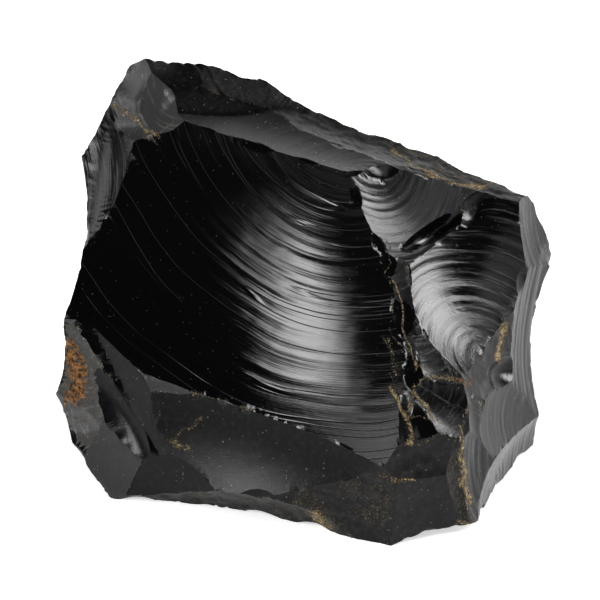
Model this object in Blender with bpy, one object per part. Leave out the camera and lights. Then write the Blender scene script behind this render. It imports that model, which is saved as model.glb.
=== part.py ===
"""A fist-sized lump of obsidian, knapped by nature: one solid bounded by hollow and flat facets.

The stone is drawn in a tilted frame, in millimetres: across (to the right), up and out. The up and
out axes lean by LEAN from the vertical and the horizontal, so that the big hollow scar faces out.
Every facet is a shallow bowl through its named corners. A finely cut cube round HEART is drawn out
along its rays as far as the nearest bowl, so two facets always meet in a sharp ridge.
"""
import bmesh
import bpy
import numpy as np

MM = 0.001
LEAN = np.radians(28.0)  # tilt of the drawing frame about the across axis
HEART = np.array([0.0, -2.0, -12.0])  # a point deep inside the stone, in the drawing frame
BASE_DROP = 37.5  # height of the drawing frame's origin above the flat base
CENTRE_SHIFT = (-1.25, -6.45)  # moves the stone so that its bounding box is centred on the origin
CELLS = 28  # cells along each edge of the cube that is drawn out into the stone
FRONT_PULL = 0.35  # crowds the cells towards the out axis, where the detail is
SNAP_REACH = 0.52  # furthest a point slides to reach a ridge, as a share of a cell
CHIPS = 60  # small bites along the ridges
CHIP_SIZE = (1.2, 3.2)  # smallest and largest chip radius
CHIP_SEED = 7

# Corners of the facets: across, up, out.
CORNERS = {
    "back_11": (14.0, 25.0, -38.0),
    "knob_l": (-32.8, 48.0, -16.5), "knob_t": (-28.4, 48.8, -17.2), "knob_r": (-24.6, 47.6, -19.2),
    "knob_d": (-20.8, 45.2, -20.0),
    "brow_1": (-18.4, 46.4, -24.0), "brow_2": (-14.4, 44.6, -25.0), "brow_3": (-9.4, 43.8, -26.0),
    "brow_4": (-2.0, 40.0, -24.0), "brow_5": (4.0, 38.8, -22.0), "brow_6": (11.6, 34.2, -18.0),
    "crown_1": (15.6, 33.8, -15.0), "crown_2": (19.6, 32.6, -13.5), "crown_3": (24.2, 30.2, -12.5),
    "crown_4": (30.0, 28.6, -14.0), "crown_5": (34.8, 26.2, -14.5), "crown_6": (40.4, 25.2, -16.0),
    "crown_7": (43.2, 23.2, -15.5), "crown_8": (47.0, 22.2, -17.0),
    "ear_1": (47.6, 20.8, -17.5), "ear_2": (48.2, 15.4, -18.0), "ear_3": (49.6, 12.4, -19.0),
    "ear_4": (51.0, 11.0, -20.0), "ear_5": (51.2, 7.2, -20.0), "ear_6": (48.0, 0.4, -16.0),
    "waist_1": (47.4, -3.4, -16.0), "waist_2": (45.8, -6.8, -13.0),
    "hip_1": (47.4, -15.4, -16.0), "hip_2": (48.0, -18.4, -17.0), "hip_3": (46.6, -22.0, -15.0),
    "toe_1": (47.8, -25.4, -19.0), "toe_2": (48.0, -29.2, -24.9), "toe_3": (45.4, -31.6, -20.3),
    "toe_4": (41.8, -34.6, -14.7), "toe_5": (39.2, -36.4, -11.3), "toe_6": (37.4, -39.4, -5.6),
    "toe_7": (36.0, -44.2, 4.6),
    "sole_1": (33.6, -46.0, 8.0), "sole_2": (30.0, -45.0, 8.2), "sole_3": (27.8, -45.2, 8.0),
    "sole_4": (20.8, -48.0, 12.0), "sole_5": (18.6, -48.4, 11.4), "sole_6": (8.2, -48.0, 10.4),
    "sole_7": (1.6, -45.4, 5.7), "sole_8": (-4.0, -43.0, 1.1), "sole_9": (-12.8, -41.8, -0.6),
    "sole_10": (-19.8, -40.8, -2.2), "sole_11": (-27.0, -41.2, -2.3), "sole_12": (-31.4, -41.0, -2.6),
    "sole_13": (-36.2, -41.6, -3.7),
    "heel_1": (-38.4, -39.4, -4.0), "heel_2": (-40.2, -36.6, -4.6), "heel_3": (-43.4, -33.0, -7.5),
    "heel_4": (-44.0, -29.2, -7.4),
    "cheek_1": (-46.6, -24.4, -9.5), "cheek_2": (-49.0, -20.4, -10.8), "cheek_3": (-47.0, -14.0, -8.0),
    "cheek_4": (-46.8, -7.6, -6.5), "cheek_5": (-47.8, -5.0, -6.5), "cheek_6": (-47.2, -1.2, -6.5),
    "side_1": (-46.0, 2.2, -6.4), "side_2": (-44.0, 5.6, -6.9), "side_3": (-42.2, 9.8, -7.4),
    "side_4": (-41.8, 13.4, -7.4), "side_5": (-42.6, 19.0, -11.5), "side_6": (-43.4, 27.8, -15.5),
    "side_7": (-42.4, 32.0, -15.5), "side_8": (-40.8, 36.0, -15.5), "side_9": (-40.0, 38.0, -15.0),
    "side_10": (-37.0, 41.2, -15.0), "side_11": (-35.4, 43.6, -15.5),
    "rim_1": (-37.8, 33.8, -12.8), "rim_2": (-34.0, 34.8, -10.8), "rim_3": (-28.4, 34.4, -9.2),
    "rim_4": (-24.0, 36.0, -8.4), "rim_5": (-16.0, 33.0, -5.2), "rim_6": (-9.2, 31.0, -2.5),
    "rim_7": (0.0, 28.0, 1.0), "rim_8": (9.6, 26.6, 4.4), "rim_9": (11.6, 19.4, 6.6),
    "rim_10": (14.0, 13.6, 9.0), "rim_11": (16.6, 9.0, 10.9), "rim_12": (17.2, 2.0, 11.8),
    "rim_13": (17.6, -6.0, 13.4), "rim_14": (18.0, -16.0, 16.0), "rim_15": (19.0, -22.0, 19.2),
    "rim_16": (19.8, -28.0, 20.0), "rim_17": (18.0, -34.4, 20.4), "rim_18": (10.6, -32.8, 18.2),
    "rim_19": (0.0, -25.4, 12.3), "rim_20": (-7.6, -19.8, 8.0), "rim_21": (-13.0, -18.8, 5.8),
    "rim_22": (-18.4, -18.2, 4.2), "rim_23": (-22.8, -16.8, 2.7), "rim_24": (-28.4, -13.4, 0.6),
    "rim_25": (-33.8, -11.4, -0.2), "rim_26": (-37.0, -8.8, -1.6), "rim_27": (-40.8, -4.8, -3.2),
    "rim_28": (-44.4, -3.8, -4.6),
    "lip_1": (-35.8, 26.0, -10.5), "lip_2": (-37.6, 21.6, -9.4), "lip_3": (-38.4, 16.4, -7.8),
    "top_1": (-27.0, 40.8, -15.5), "top_2": (-21.2, 42.8, -18.0), "top_3": (-16.2, 42.6, -19.0),
    "top_4": (-9.8, 39.6, -18.0), "top_5": (-2.0, 37.6, -17.5), "top_6": (4.4, 34.6, -16.5),
    "top_7": (10.0, 32.4, -14.5), "top_8": (13.8, 28.0, 2.6),
    "nose_1": (-30.6, 42.6, -12.5), "nose_2": (-26.0, 42.0, -13.5), "nose_3": (-21.4, 43.0, -16.5),
    "fan_1": (19.6, 26.8, 0.2), "fan_2": (24.2, 25.4, -2.8), "fan_3": (29.2, 23.6, -4.8),
    "fan_4": (35.6, 20.6, -7.2), "fan_5": (30.8, 18.0, -3.6), "fan_6": (27.6, 16.0, -0.9),
    "fan_7": (23.0, 12.8, 3.4), "fan_8": (19.6, 9.6, 7.2),
    "cleft_1": (33.2, 16.6, -4.4), "cleft_2": (34.8, 18.2, -6.4), "cleft_3": (38.2, 18.6, -7.0),
    "cleft_4": (35.0, 14.4, -3.0), "cleft_5": (30.0, 13.2, 0.2), "cleft_6": (24.2, 10.8, 4.6),
    "scar_1": (43.8, 17.4, -8.6), "scar_2": (44.8, 10.0, -7.0), "scar_3": (46.0, 4.8, -6.0),
    "scar_4": (44.8, -0.6, -4.4), "scar_5": (42.0, -4.0, -1.4), "scar_6": (39.6, -8.0, 2.6),
    "scar_7": (34.8, -12.6, 9.4), "scar_8": (33.0, -14.8, 11.6), "scar_9": (30.6, -12.4, 12.4),
    "scar_10": (28.2, -8.0, 12.5), "scar_11": (24.6, -2.8, 12.6), "scar_12": (21.4, 2.0, 11.6),
    "scar_13": (20.0, 7.6, 9.6),
    "strip_1": (41.0, -10.0, -1.0), "strip_2": (43.8, -15.8, -7.0), "strip_3": (46.0, -19.4, -11.0),
    "pit_1": (38.4, -12.4, 3.6), "pit_2": (42.4, -12.4, -3.0), "pit_3": (42.0, -16.0, -3.6),
    "pit_4": (38.2, -17.2, 4.6),
    "flat_1": (35.8, -18.8, 9.8), "flat_2": (46.6, -20.8, -12.5), "flat_3": (46.4, -24.8, -14.0),
    "flat_4": (44.6, -25.6, -10.0), "flat_5": (39.6, -28.8, 3.4), "flat_6": (36.4, -28.4, 9.6),
    "flat_7": (35.4, -23.6, 11.0),
    "rib_1": (33.8, -19.4, 13.4), "rib_2": (33.4, -24.0, 13.8), "rib_3": (34.4, -26.6, 13.2),
    "rib_4": (37.2, -31.6, 9.0), "rib_5": (36.8, -36.8, 6.2), "rib_6": (36.0, -40.8, 4.4),
    "rib_7": (32.8, -39.2, 10.0), "rib_8": (32.2, -34.0, 12.8), "rib_9": (32.0, -29.6, 14.6),
    "pillar_1": (20.0, 9.0, 8.2), "pillar_2": (21.0, -5.0, 13.4), "pillar_3": (17.8, 0.0, 13.0),
    "pillar_4": (22.4, -14.2, 17.0), "pillar_5": (22.0, -15.2, 17.2), "pillar_6": (30.4, -13.6, 13.0),
    "pillar_7": (20.0, -6.4, 14.6), "pillar_8": (22.2, -9.4, 15.8), "pillar_9": (22.8, -16.4, 17.4),
    "pillar_10": (29.2, -16.0, 15.0), "pillar_11": (32.8, -20.4, 13.8),
    "pillar_12": (33.2, -24.8, 14.0), "pillar_13": (28.0, -24.0, 17.4),
    "pillar_14": (22.6, -19.8, 18.4), "pillar_15": (26.8, -25.4, 18.4),
    "pillar_16": (23.4, -28.0, 19.8), "pillar_17": (21.6, -25.0, 19.8),
    "pillar_18": (19.6, -19.0, 18.0),
    "foot_1": (26.6, -28.0, 18.4), "foot_2": (29.6, -29.8, 17.4), "foot_3": (30.4, -34.0, 15.4),
    "foot_4": (29.6, -36.2, 14.6), "foot_5": (22.6, -35.8, 18.6),
    "low_1": (0.8, -33.6, 12.5), "low_2": (6.0, -37.2, 15.6), "low_3": (16.0, -35.8, 19.4),
    "low_4": (0.8, -39.2, 11.2), "low_5": (-0.2, -30.2, 11.4), "low_6": (-2.8, -24.8, 10.2),
    "low_7": (-9.2, -19.4, 7.2), "low_8": (-18.6, -19.8, 4.0), "low_9": (-20.2, -21.0, 3.6),
    "low_10": (-23.4, -24.0, 2.4), "low_11": (-24.4, -27.6, 2.6), "low_12": (-22.4, -32.0, 3.4),
    "low_13": (-21.2, -38.2, 1.5), "low_14": (-26.2, -29.4, 1.8), "low_15": (-31.4, -29.8, -0.4),
    "low_16": (-29.2, -28.8, 0.6), "low_17": (-27.0, -19.6, 1.4), "low_18": (-31.0, -15.2, 0.2),
    "groove_1": (-40.8, -7.2, -3.8), "groove_2": (-37.6, -10.8, -3.0), "groove_3": (-34.8, -15.6, -2.2),
    "groove_4": (-32.2, -20.4, -1.6), "groove_5": (-31.2, -24.0, -1.0),
    "gut_2": (-42.4, -13.4, -3.5), "gut_3": (-39.6, -14.8, -2.7), "gut_4": (-36.2, -17.2, -2.1),
    "gut_5": (-33.8, -20.4, -1.5), "gut_6": (-32.0, -24.4, -0.9), "gut_7": (-31.8, -27.4, -0.8),
    "arc_1": (-40.6, -16.0, -5.4), "arc_2": (-38.0, -21.0, -5.0), "arc_3": (-35.0, -25.0, -3.8),
    "crust_1": (-43.4, -8.8, -4.4), "crust_2": (-39.4, -19.6, -4.0), "crust_3": (-39.4, -22.2, -4.0),
    "crust_4": (-39.4, -24.0, -4.0), "crust_5": (-40.6, -26.0, -4.8), "crust_6": (-42.8, -28.0, -6.2),
    "crust_7": (-46.6, -21.2, -8.6),
    "calf_1": (-37.8, -24.4, -3.2), "calf_2": (-34.8, -26.0, -2.0),
    "notch_1": (-39.2, 38.2, -14.8), "notch_2": (-35.8, 38.0, -13.0), "notch_3": (-33.8, 36.6, -11.6),
    "notch_4": (-31.0, 35.8, -10.4), "notch_5": (-32.0, 40.6, -12.5), "notch_6": (-28.0, 41.0, -13.0),
    "notch_7": (-27.6, 38.8, -11.4), "notch_8": (-28.8, 36.4, -9.8),
    "arch_1": (25.0, -43.0, 1.1), "arch_2": (32.0, -41.0, -2.6),
    "back_1": (-30.0, 30.0, -38.0), "back_2": (0.0, 26.0, -40.0), "back_3": (28.0, 17.0, -34.0),
    "back_4": (43.0, 0.0, -32.0), "back_5": (38.0, -17.0, -38.0), "back_6": (-40.0, 15.0, -30.0),
    "back_7": (-40.4, -9.0, -34.0), "back_8": (-37.6, -20.0, -37.0), "back_9": (-26.0, -9.0, -47.0),
    "back_10": (20.0, -9.0, -46.0),
}

# Facets: how hollow each is at its middle, and its corners in order.
FACETS = {
    "main": (3.8, "rim_3 rim_4 rim_5 rim_6 rim_7 rim_8 rim_9 rim_10 rim_11 rim_12 rim_13 rim_14 "
        "rim_15 rim_16 rim_17 rim_18 rim_19 rim_20 rim_21 rim_22 rim_23 rim_24 rim_25 rim_26 rim_27 "
        "rim_28 side_1 side_3 side_4"),
    "top_face": (0.7, "top_1 top_2 top_3 top_4 top_5 top_6 top_7 rim_4 rim_5 rim_6 rim_7 rim_8 "
        "top_8"),
    "top_back": (0.4, "brow_1 brow_3 brow_4 brow_5 brow_6 top_7 top_6 top_5 top_4 top_3"),
    "knob": (0.4, "knob_l knob_t knob_r knob_d nose_3 nose_2 nose_1"),
    "top_right": (0.4, "crown_1 crown_2 crown_4 crown_6 crown_7 fan_4 fan_3 fan_2 fan_1 top_8"),
    "fan": (1.0, "rim_8 top_8 fan_1 fan_2 fan_3 fan_4 fan_5 fan_6 fan_7 fan_8 rim_11 rim_10 rim_9"),
    "cleft": (2.6, "fan_8 fan_7 fan_6 fan_5 cleft_1 cleft_5 cleft_6"),
    "cleft_b": (1.0, "cleft_2 cleft_3 cleft_4 cleft_1"),
    "right_scar": (2.0, "fan_8 cleft_6 cleft_5 cleft_4 cleft_3 scar_1 scar_2 scar_3 scar_4 scar_5 "
        "scar_6 scar_7 scar_8 scar_9 scar_10 scar_11 scar_12 scar_13"),
    "edge_top": (0.5, "scar_1 crown_8 ear_2 ear_3 scar_3 scar_2"),
    "edge_mid": (0.6, "ear_3 ear_4 ear_5 scar_3"),
    "edge_strip": (0.8, "scar_3 ear_5 ear_6 waist_1 waist_2 hip_1 hip_2 strip_3 strip_2 strip_1 "
        "scar_5 scar_4"),
    "pit": (1.6, "pit_1 pit_2 pit_3 pit_4"),
    "shoulder": (0.4, "scar_6 strip_1 pit_1 pit_4 flat_1 scar_8 scar_7"),
    "side_flat": (0.8, "flat_1 strip_2 flat_2 flat_3 flat_4 flat_5 flat_6 flat_7"),
    "side_low": (1.2, "rib_4 flat_5 flat_4 toe_1 toe_2 toe_3 toe_4 toe_5 toe_6 toe_7 rib_5"),
    "side_strip": (0.3, "scar_8 flat_1 flat_7 flat_6 rib_3 rib_2 rib_1"),
    "column": (0.6, "rib_3 flat_6 rib_4 rib_5 rib_6 sole_1 rib_7 rib_8 rib_9"),
    "waist_top": (0.2, "rim_11 pillar_1 scar_13 pillar_2 pillar_3 rim_12"),
    "waist": (0.6, "scar_12 scar_11 scar_10 scar_9 pillar_6 pillar_4 pillar_2"),
    "waist_low": (0.4, "rim_13 pillar_7 pillar_8 pillar_5 pillar_18 rim_14"),
    "dark_flat": (0.7, "pillar_9 pillar_10 pillar_11 pillar_12 pillar_13 pillar_14"),
    "tri": (0.7, "pillar_14 pillar_15 pillar_16 pillar_17"),
    "gold_strip": (0.3, "rim_14 pillar_18 pillar_17 pillar_16 rim_16 rim_15"),
    "foot_facet": (0.5, "rim_16 pillar_16 foot_1 foot_2 foot_3 foot_4 foot_5 rim_17"),
    "foot_side": (0.5, "foot_2 rib_9 rib_8 rib_7 sole_1 sole_2 foot_4 foot_3"),
    "front_low": (0.3, "rim_17 sole_5 sole_6 sole_7 low_4 low_2 low_3"),
    "front_right": (0.4, "rim_17 foot_5 foot_4 sole_3 sole_4 sole_5"),
    "crescent": (0.4, "low_7 rim_20 rim_19 rim_18 low_3 low_2 low_1 low_5 low_6"),
    "belly": (0.9, "low_8 rim_21 low_7 low_6 low_5 low_1 low_4 low_13 low_12 low_11 low_10 low_9"),
    "under": (1.0, "low_13 low_4 sole_10 sole_9 sole_8 sole_7"),
    "under_right": (0.3, "sole_4 sole_3 sole_2 arch_1 arch_2"),
    "belly_left": (0.6, "low_15 low_14 low_12 low_13 sole_11 sole_12"),
    "blade": (0.25, "rim_25 rim_24 rim_23 rim_22 low_8 low_9 low_10 low_11 low_17 low_18"),
    "band": (0.1, "rim_27 rim_26 rim_25 low_18 low_17 low_11 low_14 low_16 groove_5 groove_4 "
        "groove_3 groove_2 groove_1"),
    "furrow": (0.1, "crust_1 groove_1 groove_2 groove_3 groove_4 groove_5 gut_7 gut_6 gut_5 gut_4 "
        "gut_3 gut_2"),
    "crescent_left": (0.9, "gut_2 gut_3 gut_4 gut_5 gut_6 gut_7 arc_3 arc_2 arc_1"),
    "crust_face": (0.5, "cheek_4 crust_1 gut_2 arc_1 crust_2 crust_3 crust_7 cheek_2 cheek_3"),
    "streaked": (0.5, "cheek_2 crust_7 crust_3 crust_4 crust_5 crust_6 heel_4 cheek_1"),
    "lower_left": (0.5, "crust_6 crust_5 calf_1 calf_2 low_15 sole_12 sole_13 heel_2 heel_3 heel_4"),
    "left_strip": (0.6, "side_8 rim_1 lip_1 lip_2 lip_3 side_4 side_5 side_6"),
    "notch_a": (0.4, "side_10 knob_l nose_1 notch_5 notch_2"),
    "notch_b": (0.4, "notch_4 notch_8 notch_7 notch_6 notch_5"),
    "notch_c": (0.4, "notch_1 side_10 notch_5 notch_3 notch_2"),
    "notch_d": (0.4, "side_8 side_9 notch_2 notch_3 notch_4 rim_2 rim_1"),
    "rear_1": (0.3, "knob_l knob_t knob_r back_1"),
    "rear_2": (0.3, "knob_r knob_d brow_1 brow_2 brow_3 back_1 back_2"),
    "rear_3": (0.5, "brow_3 brow_4 brow_5 back_2"),
    "rear_4": (0.5, "brow_5 brow_6 crown_1 back_2 back_11"),
    "rear_5": (0.3, "crown_1 crown_2 crown_3 crown_4 back_11 back_3"),
    "rear_6": (0.4, "crown_4 crown_5 crown_6 crown_8 back_3"),
    "rear_7": (0.5, "crown_8 ear_1 ear_2 back_3 back_4"),
    "rear_8": (0.5, "ear_3 ear_4 ear_5 back_4"),
    "rear_9": (2.6, "ear_5 ear_6 waist_1 waist_2 hip_1 hip_2 back_4 back_5"),
    "rear_10": (0.8, "hip_2 hip_3 toe_1 toe_2 back_5"),
    "rear_11": (0.3, "knob_l side_11 side_10 side_9 back_1 back_6"),
    "rear_12": (0.4, "side_9 side_8 side_7 side_6 back_6"),
    "rear_13": (1.8, "side_6 side_5 side_4 side_3 side_2 side_1 cheek_6 back_6 back_7"),
    "rear_14": (1.2, "cheek_5 cheek_4 cheek_3 cheek_2 back_7"),
    "rear_15": (0.6, "cheek_2 cheek_1 heel_4 back_7 back_8"),
    "rear_16": (0.2, "heel_4 heel_3 heel_2 heel_1 sole_13 back_8"),
    "rear_17": (1.5, "back_1 back_2 back_9 back_10"),
    "rear_18": (1.0, "back_1 back_6 back_7 back_9"),
    "rear_19": (0.6, "back_2 back_3 back_10"),
    "rear_20": (1.0, "back_3 back_4 back_5 back_10"),
    "rear_21": (0.5, "back_7 back_8 back_9"),
}
# Facets that end where the named facet rises as a step.
STEPPED = {"top_face": "knob", "top_back": "knob"}
# Facets that stand outside their corners' mean plane, by so many millimetres.
PROUD = {
    "rear_2": 0.6, "rear_3": 0.6, "rear_4": 1.6, "rear_5": 1.5, "rear_6": 1.9, "rear_7": 1.1, "rear_8": 1.4,
    "rear_9": 0.8, "rear_10": 1.5, "rear_11": 1.1, "rear_12": 1.0, "rear_13": 1.2, "rear_14": 0.9,
    "rear_15": 1.0, "rear_16": 0.9, "knob": 1.2, "under": 0.5, "side_low": 0.4, "edge_mid": 0.4,
}
# Valleys: floor facets, and the facets that rise beside them. The floor shows where it is the higher.
VALLEYS = (
    (("furrow",), ("band",)),
)


def unit(vectors):
    """The vectors, each divided by its own length."""
    return vectors / np.linalg.norm(vectors, axis=-1, keepdims=True)


def bowl(centre, normal, first_axis, spread_1, spread_2, hollow):
    """One cutting surface: its centre, three axes, the two mean square spreads and its depth."""
    second_axis = np.cross(normal, first_axis)
    return np.concatenate([centre, normal, first_axis, second_axis, [spread_1, spread_2, hollow]])


def facet_bowl(name):
    """The bowl that fits the facet's corners best: a mean plane, dished by the facet's hollow."""
    hollow, corner_names = FACETS[name]
    corners = np.array([CORNERS[corner] for corner in corner_names.split()])
    centre = corners.mean(axis=0)
    spreads, axes = np.linalg.eigh(np.cov((corners - centre).T, bias=True))
    normal = axes[:, 0] * np.sign(axes[:, 0] @ (centre - HEART))
    centre = centre + normal * PROUD.get(name, 0.0)
    narrowest = 0.12 if name.startswith("rear") else 0.01
    return bowl(centre, normal, axes[:, 2], spreads[2], max(spreads[1], narrowest * spreads[2]), hollow)


def base_bowl():
    """The flat base, square to the true vertical."""
    down = np.array([0.0, -np.cos(LEAN), -np.sin(LEAN)])
    return bowl(down * BASE_DROP, down, np.array([1.0, 0.0, 0.0]), 900.0, 900.0, 0.0)


def distances(bowls, rays):
    """How far along each ray from the heart each bowl is met: rows are rays, columns are bowls.

    At a distance t the height over a bowl is rest + slope t - bend t t. Its first zero is
    -2 rest / (slope + root), where root squared is slope slope + 4 bend rest.
    """
    centre, normal, axis_1, axis_2 = (bowls[:, i : i + 3] for i in (0, 3, 6, 9))
    spread_1, spread_2, hollow = bowls[:, 12:].T
    start = HEART - centre
    p_start = (start * axis_1).sum(axis=1)
    q_start = (start * axis_2).sum(axis=1)
    p_ray = rays @ axis_1.T
    q_ray = rays @ axis_2.T
    rest = (start * normal).sum(axis=1)
    rest = rest + hollow * (1 - (p_start**2 / spread_1 + q_start**2 / spread_2) / 2)
    slope = rays @ normal.T - hollow * (p_start * p_ray / spread_1 + q_start * q_ray / spread_2)
    bend = hollow * (p_ray**2 / spread_1 + q_ray**2 / spread_2) / 2
    root_squared = slope**2 + 4 * bend * rest
    below = slope + np.sqrt(np.maximum(root_squared, 0))
    met = (root_squared >= 0) & (below > 1e-9) & (rest < 0)
    reach = np.where(met, -2 * rest / np.where(met, below, 1), FAR)
    for name, step in STEPPED.items():
        cut, wall = FACET_NAMES.index(name), FACET_NAMES.index(step)
        wall_start = start[wall] @ normal[wall]
        wall_slope = rays @ normal[wall]
        short = wall_start + wall_slope * reach[:, cut] < 0
        at_wall = np.where(wall_slope > 1e-6, -wall_start / np.maximum(wall_slope, 1e-6), FAR)
        reach[:, cut] = np.where(short & (reach[:, cut] < FAR), at_wall, reach[:, cut])
    for floor_names, hill_names in VALLEYS:
        floors = [FACET_NAMES.index(name) for name in floor_names]
        hills = [FACET_NAMES.index(name) for name in hill_names]
        floor_shows = reach[:, floors].min(axis=1) > reach[:, hills].min(axis=1)
        reach[:, hills] = np.where(floor_shows[:, None], FAR, reach[:, hills])
        reach[:, floors] = np.where(floor_shows[:, None], reach[:, floors], FAR)
    return reach


def chip_bowls(bowls):
    """Small bites on the ridges: random rays are slid onto the nearest ridge, then thinned out."""
    chance = np.random.default_rng(CHIP_SEED)
    rays = unit(chance.normal(size=(3000, 3)))
    rays = slide_to_ridges(bowls, rays, np.full(len(rays), 0.06))
    reach = distances(bowls, rays)
    order = np.argsort(reach, axis=1)
    first, second = order[:, 0], order[:, 1]
    near = np.take_along_axis(reach, order[:, :2], axis=1)
    points = HEART + rays * near[:, :1]
    lean_apart = (bowls[first, 3:6] * bowls[second, 3:6]).sum(axis=1)
    on_edge = (near[:, 1] - near[:, 0] < 0.05) & (lean_apart < 0.75) & (lean_apart > -0.9)
    chips = []
    taken = []
    for i in np.flatnonzero(on_edge):
        if len(chips) == CHIPS:
            break
        if taken and np.linalg.norm(np.array(taken) - points[i], axis=1).min() < 5.0:
            continue
        radius = chance.uniform(*CHIP_SIZE)
        outward = unit(bowls[first[i], 3:6] + bowls[second[i], 3:6] + 0.25 * chance.normal(size=3))
        along = unit(np.cross(outward, chance.normal(size=3)))
        taken.append(points[i])
        chips.append(bowl(points[i], outward, along, radius**2, 0.6 * radius**2, 0.28 * radius))
    return np.array(chips)


def slide_to_ridges(bowls, rays, cell):
    """Turns the rays that pass close to a ridge until they meet it.

    The gap is the distance between the two nearest bowls along a ray. One Newton step takes it to
    zero: the turn is minus the gap times its gradient, over the gradient squared.
    """
    nudge = 1e-4
    order = np.argsort(distances(bowls, rays), axis=1)[:, :2]

    def gap(turned):
        two = np.take_along_axis(distances(bowls, unit(turned)), order, axis=1)
        return two[:, 1] - two[:, 0]

    side = unit(np.cross(rays, np.where(np.abs(rays[:, 2:]) < 0.9, [[0, 0, 1.0]], [[1.0, 0, 0]])))
    other = np.cross(rays, side)
    here = gap(rays)
    slope_1 = (gap(rays + nudge * side) - here) / nudge
    slope_2 = (gap(rays + nudge * other) - here) / nudge
    steep = slope_1**2 + slope_2**2 + 1e-12
    turn = -here[:, None] * (slope_1[:, None] * side + slope_2[:, None] * other) / steep[:, None]
    close = (np.linalg.norm(turn, axis=1) < SNAP_REACH * cell) & (here < FAR / 2)
    return unit(rays + np.where(close[:, None], turn, 0))


def shell_of_cells(cells):
    """A closed cube whose six faces are grids of square cells."""
    shell = bmesh.new()
    bmesh.ops.create_cube(shell, size=2.0)
    bmesh.ops.subdivide_edges(shell, edges=shell.edges[:], cuts=cells - 1, use_grid_fill=True)
    shell.verts.index_update()
    return shell


def stone_surface(corners, quads):
    """Moves the shell's corners onto the stone, and tells along which diagonal each cell folds.

    Each corner gives one ray from the heart. The tangent evens out the angles between the rays.
    """
    rays = unit(unit(np.tan(corners * np.pi / 4)) + [0, 0, FRONT_PULL])
    bowls = np.array([facet_bowl(name) for name in FACETS] + [base_bowl()])
    bowls = np.concatenate([bowls, chip_bowls(bowls)])
    sides = np.linalg.norm(rays[quads] - rays[np.roll(quads, -1, axis=1)], axis=2)
    cell = np.bincount(quads.ravel(), sides.ravel()) / np.bincount(quads.ravel())
    for _ in range(2):
        rays = slide_to_ridges(bowls, rays, cell)
    points = HEART + rays * distances(bowls, rays).min(axis=1)[:, None]

    def miss(i, j):
        """How far the middle of a diagonal lies from the true surface."""
        middle = (points[quads[:, i]] + points[quads[:, j]]) / 2 - HEART
        return np.abs(distances(bowls, unit(middle)).min(axis=1) - np.linalg.norm(middle, axis=1))

    return points, miss(0, 2) <= miss(1, 3)


def upright(points):
    """Turns the drawing frame upright, stands the stone on z = 0 and centres it."""
    across, up, out = points.T
    back = up * np.sin(LEAN) - out * np.cos(LEAN)
    height = up * np.cos(LEAN) + out * np.sin(LEAN) + BASE_DROP
    return np.stack([across + CENTRE_SHIFT[0], back + CENTRE_SHIFT[1], height], axis=1)


def obsidian_material():
    """Black volcanic glass."""
    material = bpy.data.materials.new("black_glass")
    material.use_nodes = True
    shader = material.node_tree.nodes["Principled BSDF"]
    shader.inputs["Base Color"].default_value = (0.012, 0.012, 0.013, 1)
    shader.inputs["Roughness"].default_value = 0.12
    shader.inputs["IOR"].default_value = 1.49
    return material


def build():
    """The stone as one object named after its node."""
    shell = shell_of_cells(CELLS)
    corners = np.array([corner.co[:] for corner in shell.verts])
    quads = np.array([[corner.index for corner in cell.verts] for cell in shell.faces])
    points, first_diagonal = stone_surface(corners, quads)
    for corner, place in zip(shell.verts, upright(points) * MM):
        corner.co = place
    for cell, folds_first in zip(shell.faces[:], first_diagonal):
        ends = cell.verts[:]
        start = 0 if folds_first else 1
        bmesh.utils.face_split(cell, ends[start], ends[start + 2])
    mesh = bpy.data.meshes.new("obsidian_chunk")
    shell.to_mesh(mesh)
    shell.free()
    mesh.materials.append(obsidian_material())
    stone = bpy.data.objects.new("obsidian_chunk", mesh)
    bpy.context.scene.collection.objects.link(stone)


FAR = 1000.0
FACET_NAMES = list(FACETS)
for leftover in list(bpy.data.objects):
    bpy.data.objects.remove(leftover, do_unlink=True)
build()
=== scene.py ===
# %% [markdown]
# # A chunk of obsidian
#
# Obsidian is natural glass. It has no grain, so a blow drives a crack through it as a smooth, hollow
# shell with ripples round the point that was struck. This lesson dresses the plain solid of the part
# with that fracture surface, a black glass finish, a few rust coloured crusts, and studio light.
#
# ## The frame
#
# The imported solid is loaded first. It sets the place and the size of everything else.

import bpy
import numpy as np
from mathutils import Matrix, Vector


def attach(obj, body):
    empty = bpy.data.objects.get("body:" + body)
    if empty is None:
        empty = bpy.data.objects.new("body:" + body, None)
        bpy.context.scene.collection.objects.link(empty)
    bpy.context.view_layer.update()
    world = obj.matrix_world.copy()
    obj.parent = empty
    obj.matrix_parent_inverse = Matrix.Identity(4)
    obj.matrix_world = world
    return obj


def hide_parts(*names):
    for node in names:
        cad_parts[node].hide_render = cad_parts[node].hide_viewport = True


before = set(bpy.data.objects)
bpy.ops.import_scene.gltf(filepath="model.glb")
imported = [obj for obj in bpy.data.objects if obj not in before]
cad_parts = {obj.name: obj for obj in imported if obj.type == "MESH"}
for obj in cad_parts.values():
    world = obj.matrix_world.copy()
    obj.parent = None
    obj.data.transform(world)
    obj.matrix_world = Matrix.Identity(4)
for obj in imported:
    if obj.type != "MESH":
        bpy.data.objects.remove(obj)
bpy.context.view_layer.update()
MM = 0.001

# %% [markdown]
# ## The drawing frame
#
# The stone is drawn in a frame that faces its big scar: across to the right, up, and out. The frame
# leans back by 28 degrees from the upright one, which is why the scar needs no awkward angles. A
# point inside the stone, its heart, is where every ray starts: each ray runs outwards until it meets
# the first facet. A surface made in this way can't cross itself, and two facets always meet in a
# sharp ridge, as they do in broken glass.

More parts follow.
